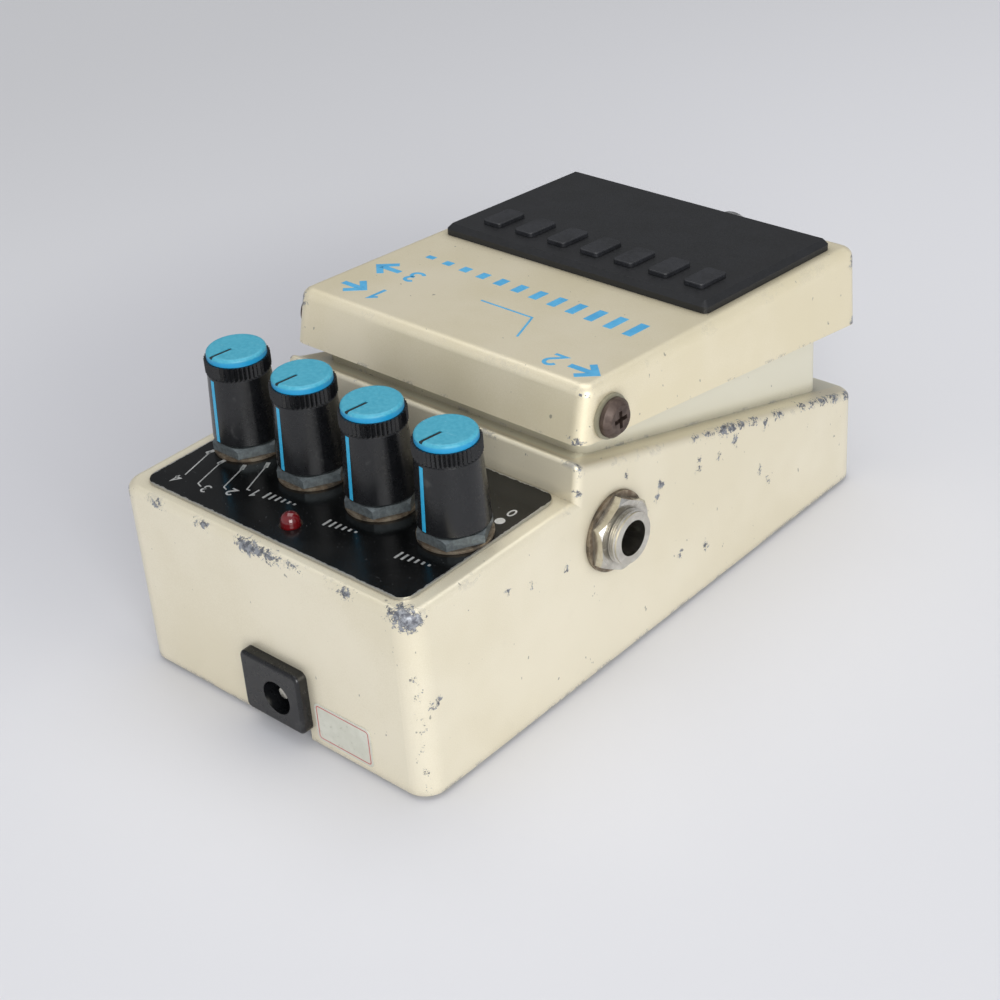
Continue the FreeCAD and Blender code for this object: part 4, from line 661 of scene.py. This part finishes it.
def print_panel():
    """White printing on the black plate: the four leaders of the mode knob, plain figures, level ramps."""
    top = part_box("control_panel")[1].z

    def lay(x, y, rise):
        return Vector((x, y, top + rise))

    solid = Solid()
    leaders = {
        "4": [(-28.5, -47.1), (-26.2, -55.0)],
        "3": [(-24.2, -48.4), (-22.1, -55.6), (-20.9, -56.0)],
        "2": [(-19.6, -47.4), (-17.5, -53.8), (-16.5, -54.1)],
        "1": [(-16.7, -44.5), (-13.6, -52.0), (-12.9, -51.9)],
    }
    ticks = [((-28.17, -46.3), (-28.82, -47.95)), ((-24.13, -47.6), (-24.2, -49.2)),
             ((-19.98, -46.65), (-19.3, -48.1)), ((-17.13, -43.7), (-16.28, -45.2))]
    leader_width, tick_width = 0.25, 0.75
    figure_height, figure_stroke = 2.0, 0.34
    for text, line in leaders.items():
        ink(solid, line, leader_width, lay)
        x, y = line[-1]
        shift_x, shift_y = (-0.3, -1.7) if text == "4" else (1.3, 0.0)
        figure(solid, text, x + shift_x, y + shift_y, figure_height, figure_stroke, lay)
    for line in ticks:
        ink(solid, line, tick_width, lay)

    dot = arc(28.35, -34.34, 0.9, 0.9, 0, 345, 23)
    solid.slab([(x * MM, y * MM) for x, y in dot], PRINT_LOW, PRINT_HIGH, lay)
    figure(solid, "0", 28.4, -31.4, 1.9, 0.32, lay)

    steps, step_pitch, step_width = 6, 1.2, 0.45
    first_x, foot_y = 3.0, -50.3
    lowest, growth = 0.5, 0.3
    for name, shift in (("delay_time", 1.9), ("feedback", 0.0), ("effect_level", 0.0)):
        middle = middle_of(name + "_shaft").x / MM + shift
        for i in range(steps):
            x = middle + first_x - step_pitch * i
            ink(solid, [(x, foot_y), (x, foot_y - lowest - growth * i)], step_width, lay)
    solid.make("panel_print", "base_unit", BARE_PRINT)


def print_arrow(solid, tip, tail, y, lay):
    """An arrow across the treadle, from tail to tip along X, in mm."""
    thick, barb = 1.3, 2.6
    back = 2.7 if tail > tip else -2.7
    ink(solid, [(tail, y), (tip + back * 0.18, y)], thick, lay)
    ink(solid, [(tip + back, y - barb), (tip, y), (tip + back, y + barb)], thick, lay)


def print_treadle():
    """Blue printing on the treadle: arrows to the jacks with plain figures, a leader, and fading bars."""
    lay = draped("treadle")
    solid = Solid()
    figure_height, figure_stroke = 4.2, 0.72
    arrows = [
        (-29.8, -24.5, -0.7, "3", -20.9),
        (-24.2, -29.4, -10.5, "1", -20.5),
        (31.5, 25.8, -12.0, "2", 22.4),
    ]
    for tip, tail, y, text, text_x in arrows:
        print_arrow(solid, tip, tail, y, lay)
        figure(solid, text, text_x, y, figure_height, figure_stroke, lay)
    leader = [(-3.96, -1.0), (8.2, -1.1), (11.4, -8.8)]
    ink(solid, leader, 0.4, lay)
    bars, bar_pitch, bar_width = 12, 4.6, 1.9
    first_x, bar_foot = 25.6, 8.9
    tallest, lowest = 5.6, 1.3
    for i in range(bars):
        x = first_x - bar_pitch * i
        height = tallest + (lowest - tallest) * i / (bars - 1)
        ink(solid, [(x, bar_foot), (x, bar_foot - height)], bar_width, lay)
    solid.make("treadle_print", "treadle_unit", BLUE_PRINT)


def raise_pad_bars():
    """Moulded grip bars on the pad."""
    lay = draped("treadle_pad")
    solid = Solid()
    bars, pitch, width, corner = 7, 8.0, 4.4, 0.8
    front, back, shift = 23.4, 31.2, 0.8
    root, height = -0.1 * MM, 0.9 * MM
    for i in range(bars):
        x = pitch * (i - (bars - 1) / 2) + shift
        outline = rounded_box(x - width / 2, front, x + width / 2, back, corner)
        solid.slab([(a * MM, b * MM) for a, b in outline], root, height, lay)
    piece = solid.make("pad_bars", "treadle_unit", RUBBED_RUBBER)
    bevel = piece.modifiers.new("soft_edges", "BEVEL")
    bevel.width = 0.2 * MM
    bevel.segments = 2


def index_stripe(name, axis, out, side):
    """The blue stripe down a knob, on the ray from its axis towards out."""
    half_width, levels, clear = 0.42 * MM, 8, 20 * MM
    proud, sunk = 0.05 * MM, 0.2 * MM
    low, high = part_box(name + "_knob")
    foot, head = low.z + 0.4 * MM, high.z - 3.1 * MM
    surface = surface_of(name + "_knob")
    shares = (-1, -0.5, 0, 0.5, 1)
    found = []
    for level in range(levels + 1):
        z = foot + (head - foot) * level / levels
        for share in shares:
            start = axis + out * clear + side * (half_width * share) + Vector((0, 0, z))
            found.append(surface.ray_cast(start, -out)[0])
    wide, total = len(shares), len(found)
    faces = []
    for level in range(levels):
        row = level * wide
        for a in range(row, row + wide - 1):
            faces.append([a, a + 1, a + wide + 1, a + wide])
            faces.append([total + a, total + a + wide, total + a + wide + 1, total + a + 1])
        for a in (row, row + wide - 1):
            faces.append([a, a + wide, total + a + wide, total + a])
    for row in (0, levels * wide):
        for a in range(row, row + wide - 1):
            faces.append([a, a + 1, total + a + 1, total + a])
    stripe = Solid()
    stripe.layers([[p + out * proud for p in found], [p - out * sunk for p in found]], faces)
    stripe.make(name + "_index", name + "_control", INDEX_BLUE)


def turned_cap(name, axis):
    """The CAD cap again, turned about its axis until its groove points as photographed."""
    mesh = frame["nodes"][name + "_cap"].data.copy()
    turn = Matrix.Rotation(POINTER_TURN - CAD_POINTER_TURN, 4, "Z")
    mesh.transform(Matrix.Translation(axis) @ turn @ Matrix.Translation(-axis))
    cap = bpy.data.objects.new(name + "_cap_turned", mesh)
    bpy.context.collection.objects.link(cap)
    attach(cap, name + "_control")
    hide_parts(name + "_cap")


def pointer_fill(name, axis, out, side):
    """The black fill of the groove in a cap."""
    groove_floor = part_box(name + "_cap")[1].z - 0.45 * MM
    start, end, half_width = 1.0 * MM, 5.15 * MM, 0.36 * MM

    def lay(along, across, rise):
        return axis + out * along + side * across + Vector((0, 0, groove_floor + rise))

    outline = [(start, -half_width), (end, -half_width), (end, half_width), (start, half_width)]
    pointer = Solid()
    pointer.slab(outline, -0.03 * MM, 0.3 * MM, lay)
    pointer.make(name + "_pointer", name + "_control", POINTER_BLACK)


def mark_knobs():
    """Each knob's stripe, its turned cap, and the fill of the cap's groove."""
    out = Vector((math.sin(POINTER_TURN), -math.cos(POINTER_TURN), 0))
    side = Vector((-out.y, out.x, 0))
    for name in CONTROLS:
        middle = middle_of(name + "_shaft")
        axis = Vector((middle.x, middle.y, 0))
        index_stripe(name, axis, out, side)
        turned_cap(name, axis)
        pointer_fill(name, axis, out, side)


def bend_spring():
    """The return spring again, copied unchanged from the CAD node, which is hidden: its foot and head stay
    where the CAD spring has them, in the chassis and on the treadle.
    """
    mesh = frame["nodes"]["return_spring"].data.copy()
    spring = bpy.data.objects.new("return_spring_bent", mesh)
    bpy.context.collection.objects.link(spring)
    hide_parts("return_spring")
    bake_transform(spring)


def make_lamp():
    """The check lamp: a domed red lens on two wires, standing through the panel."""
    low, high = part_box("check_lamp")
    middle = (low + high) / 2
    panel_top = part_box("control_panel")[1].z
    axis_gap = 0.02 * MM
    radius, rise, depth = 1.68 * MM, 0.65 * MM, 4.5 * MM
    flange, flange_height = 1.9 * MM, 0.8 * MM
    wire, wire_side, wire_gap = 0.25 * MM, 1.27 * MM, 0.05 * MM
    foot = panel_top - depth
    shoulder = foot + flange_height
    profile = [(axis_gap, foot), (flange, foot), (flange, shoulder), (radius, shoulder)]
    dome = arc(0, panel_top + rise, radius, radius, 0, 90, 10)
    profile += [(max(axis_gap, r), z) for r, z in dome]
    solid = Solid()
    solid.turned(profile, (middle.x, middle.y, 0), (0, 0, 1), 48)
    piece = solid.make("check_lamp_lens", "base_unit", FINISHES["red_lens"], smooth=True)
    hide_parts("check_lamp")

    end = foot - wire_gap
    wires = Solid()
    for side in (-1, 1):
        wires.turned([(axis_gap, low.z), (wire, low.z), (wire, end), (axis_gap, end)],
                     (middle.x + side * wire_side, middle.y, 0), (0, 0, 1), 12)
    wires.make("check_lamp_wires", "base_unit", FINISHES["zinc_steel"])


def cut_threads():
    """The last turns of thread on each jack sleeve, outside its nut."""
    root, crest, pitch, turns = 4.6 * MM, 4.95 * MM, 0.45 * MM, 3
    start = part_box("jack_nuts")[1].x + 0.05 * MM
    solid = Solid()
    for jack, side in (("output_jack", 1), ("input_jack", -1), ("stereo_jack", -1)):
        middle = middle_of(jack)
        place = (0, middle.y, middle.z)
        for turn in range(turns):
            a = start + pitch * turn
            ridge = [(root, a), (crest, a + 0.35 * pitch), (crest, a + 0.5 * pitch), (root, a + 0.9 * pitch)]
            solid.turned([(r, side * along) for r, along in ridge], place, (1, 0, 0))
    solid.make("jack_threads", "base_unit", FINISHES["nickel"])


def place_sticker():
    """A bare paper sticker beside the power inlet."""
    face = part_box("chassis")[0].y

    def lay(x, z, rise):
        return Vector((x, face - rise, z))

    solid = Solid()
    left, low, right, high, corner, border = 9.6, 1.9, 22.8, 9.7, 1.1, 0.55
    outline = rounded_box(left, low, right, high, corner)
    solid.slab([(x * MM, z * MM) for x, z in outline], -0.03 * MM, 0.09 * MM, lay)
    solid.make("rear_sticker", "base_unit", STICKER_PAPER)
    rule = Solid()
    outline = rounded_box(left + border, low + border, right - border, high - border, corner - border)
    rule.stroke([(x * MM, z * MM) for x, z in outline], 0.2 * MM, 0.05 * MM, 0.11 * MM, lay, closed=True)
    rule.make("sticker_rule", "base_unit", RED_PRINT)


print_panel()
print_treadle()
raise_pad_bars()
mark_knobs()
bend_spring()
make_lamp()
cut_threads()
place_sticker()


# Floor, light and camera


def make_floor():
    """Pale paper just under the sole, with painted shade: darker to the left, and a painted soft shadow in a
    patch beside the object.
    """
    bpy.ops.mesh.primitive_plane_add(size=6.0, location=(0, 0, -0.05 * MM))
    floor = bpy.context.object
    floor.name = "floor"
    g = Graph("floor_paper")
    # Painted shadow: a soft darker patch, C9C9CD, around this place to the object's left
    shaded_place = (-0.075, 0.02, 0)
    away = g.vector("DISTANCE", g.vector("MULTIPLY", g.place, (1, 1, 0)), shaded_place, "Value")
    # Painted shade: the paper darkens from DCDCDF towards CACACC to the left and the far side
    leftwards = g.minus(g.times(g.y, 0.2), g.x)
    paper_and_painted_shade = g.mix(g.step(leftwards, 0.0, 0.36), linear("DCDCDF"), linear("CACACC"))
    g.set(Base_Color=g.mix(g.step(away, 0.05, 0.13), linear("C9C9CD"), paper_and_painted_shade))
    g.set(Roughness=0.7, Normal=g.bump(g.noise(900, 3.0), 0.2, 0.01 * MM))
    floor.data.materials.append(g.material)


def make_light(name, place, target, width, watts):
    """A square white area light, aimed at target."""
    lamp = bpy.data.lights.new(name, "AREA")
    lamp.shape = "SQUARE"
    lamp.size = width
    lamp.energy = watts
    item = bpy.data.objects.new(name, lamp)
    bpy.context.collection.objects.link(item)
    item.location = place
    item.rotation_euler = (Vector(target) - Vector(place)).to_track_quat("-Z", "Y").to_euler()


def make_world(near, far):
    """Even studio light of strength near, falling to far towards the room's far left side."""
    dim_side = Vector((-0.62, 0.66, 0.42)).normalized()
    world = bpy.data.worlds.new("studio")
    bpy.context.scene.world = world
    world.use_nodes = True
    tree = world.node_tree
    sky = tree.nodes["Background"]
    sky.inputs["Color"].default_value = (0.93, 0.95, 1.0, 1.0)
    towards = tree.nodes.new("ShaderNodeVectorMath")
    towards.operation = "DOT_PRODUCT"
    tree.links.new(tree.nodes.new("ShaderNodeTexCoord").outputs["Generated"], towards.inputs[0])
    towards.inputs[1].default_value = dim_side
    level = tree.nodes.new("ShaderNodeMapRange")
    level.interpolation_type = "SMOOTHSTEP"
    for socket, value in (("From Min", 0.1), ("From Max", 0.95), ("To Min", near), ("To Max", far)):
        level.inputs[socket].default_value = value
    tree.links.new(towards.outputs["Value"], level.inputs["Value"])
    tree.links.new(level.outputs["Result"], sky.inputs["Strength"])


# The photograph's camera, solved from the outline of the casting: its turn, its place in metres,
# and its focal length and principal point in pixels
AZIMUTH = math.radians(43.265)
ELEVATION = math.radians(30.385)
ROLL = math.radians(-4.295)
CAMERA_PLACE = Vector((0.21325, -0.22668, 0.20849))
FOCAL_PIXELS = 1941.66
PHOTO_SIZE = 1000.0
PRINCIPAL = (511.35, 442.43)


def make_camera():
    """The camera of the photograph."""
    data = bpy.data.cameras.new("photo_camera")
    camera = bpy.data.objects.new("photo_camera", data)
    bpy.context.collection.objects.link(camera)
    data.sensor_width = 36.0
    data.lens = FOCAL_PIXELS / PHOTO_SIZE * data.sensor_width
    data.shift_x = (PHOTO_SIZE / 2 - PRINCIPAL[0]) / PHOTO_SIZE
    data.shift_y = (PRINCIPAL[1] - PHOTO_SIZE / 2) / PHOTO_SIZE
    data.clip_start = 0.01
    data.clip_end = 10.0
    reach = math.cos(ELEVATION)
    back = Vector((math.sin(AZIMUTH) * reach, -math.cos(AZIMUTH) * reach, math.sin(ELEVATION)))
    right = Vector((math.cos(AZIMUTH), math.sin(AZIMUTH), 0))
    up = back.cross(right)
    level_right = math.cos(ROLL) * right + math.sin(ROLL) * up
    level_up = -math.sin(ROLL) * right + math.cos(ROLL) * up
    turn = Matrix((level_right, level_up, back)).transposed()
    camera.matrix_world = Matrix.Translation(CAMERA_PLACE) @ turn.to_4x4()
    bpy.context.scene.camera = camera


OBJECT_MIDDLE = (0, 0, 0.03)

make_floor()
make_world(near=0.58, far=0.2)
make_light("side_light", (1.1, -0.85, 0.6), OBJECT_MIDDLE, width=0.9, watts=16)
make_light("top_light", (-0.2, 0.3, 1.3), OBJECT_MIDDLE, width=1.2, watts=8)
make_camera()
bpy.context.scene.view_settings.view_transform = "Standard"
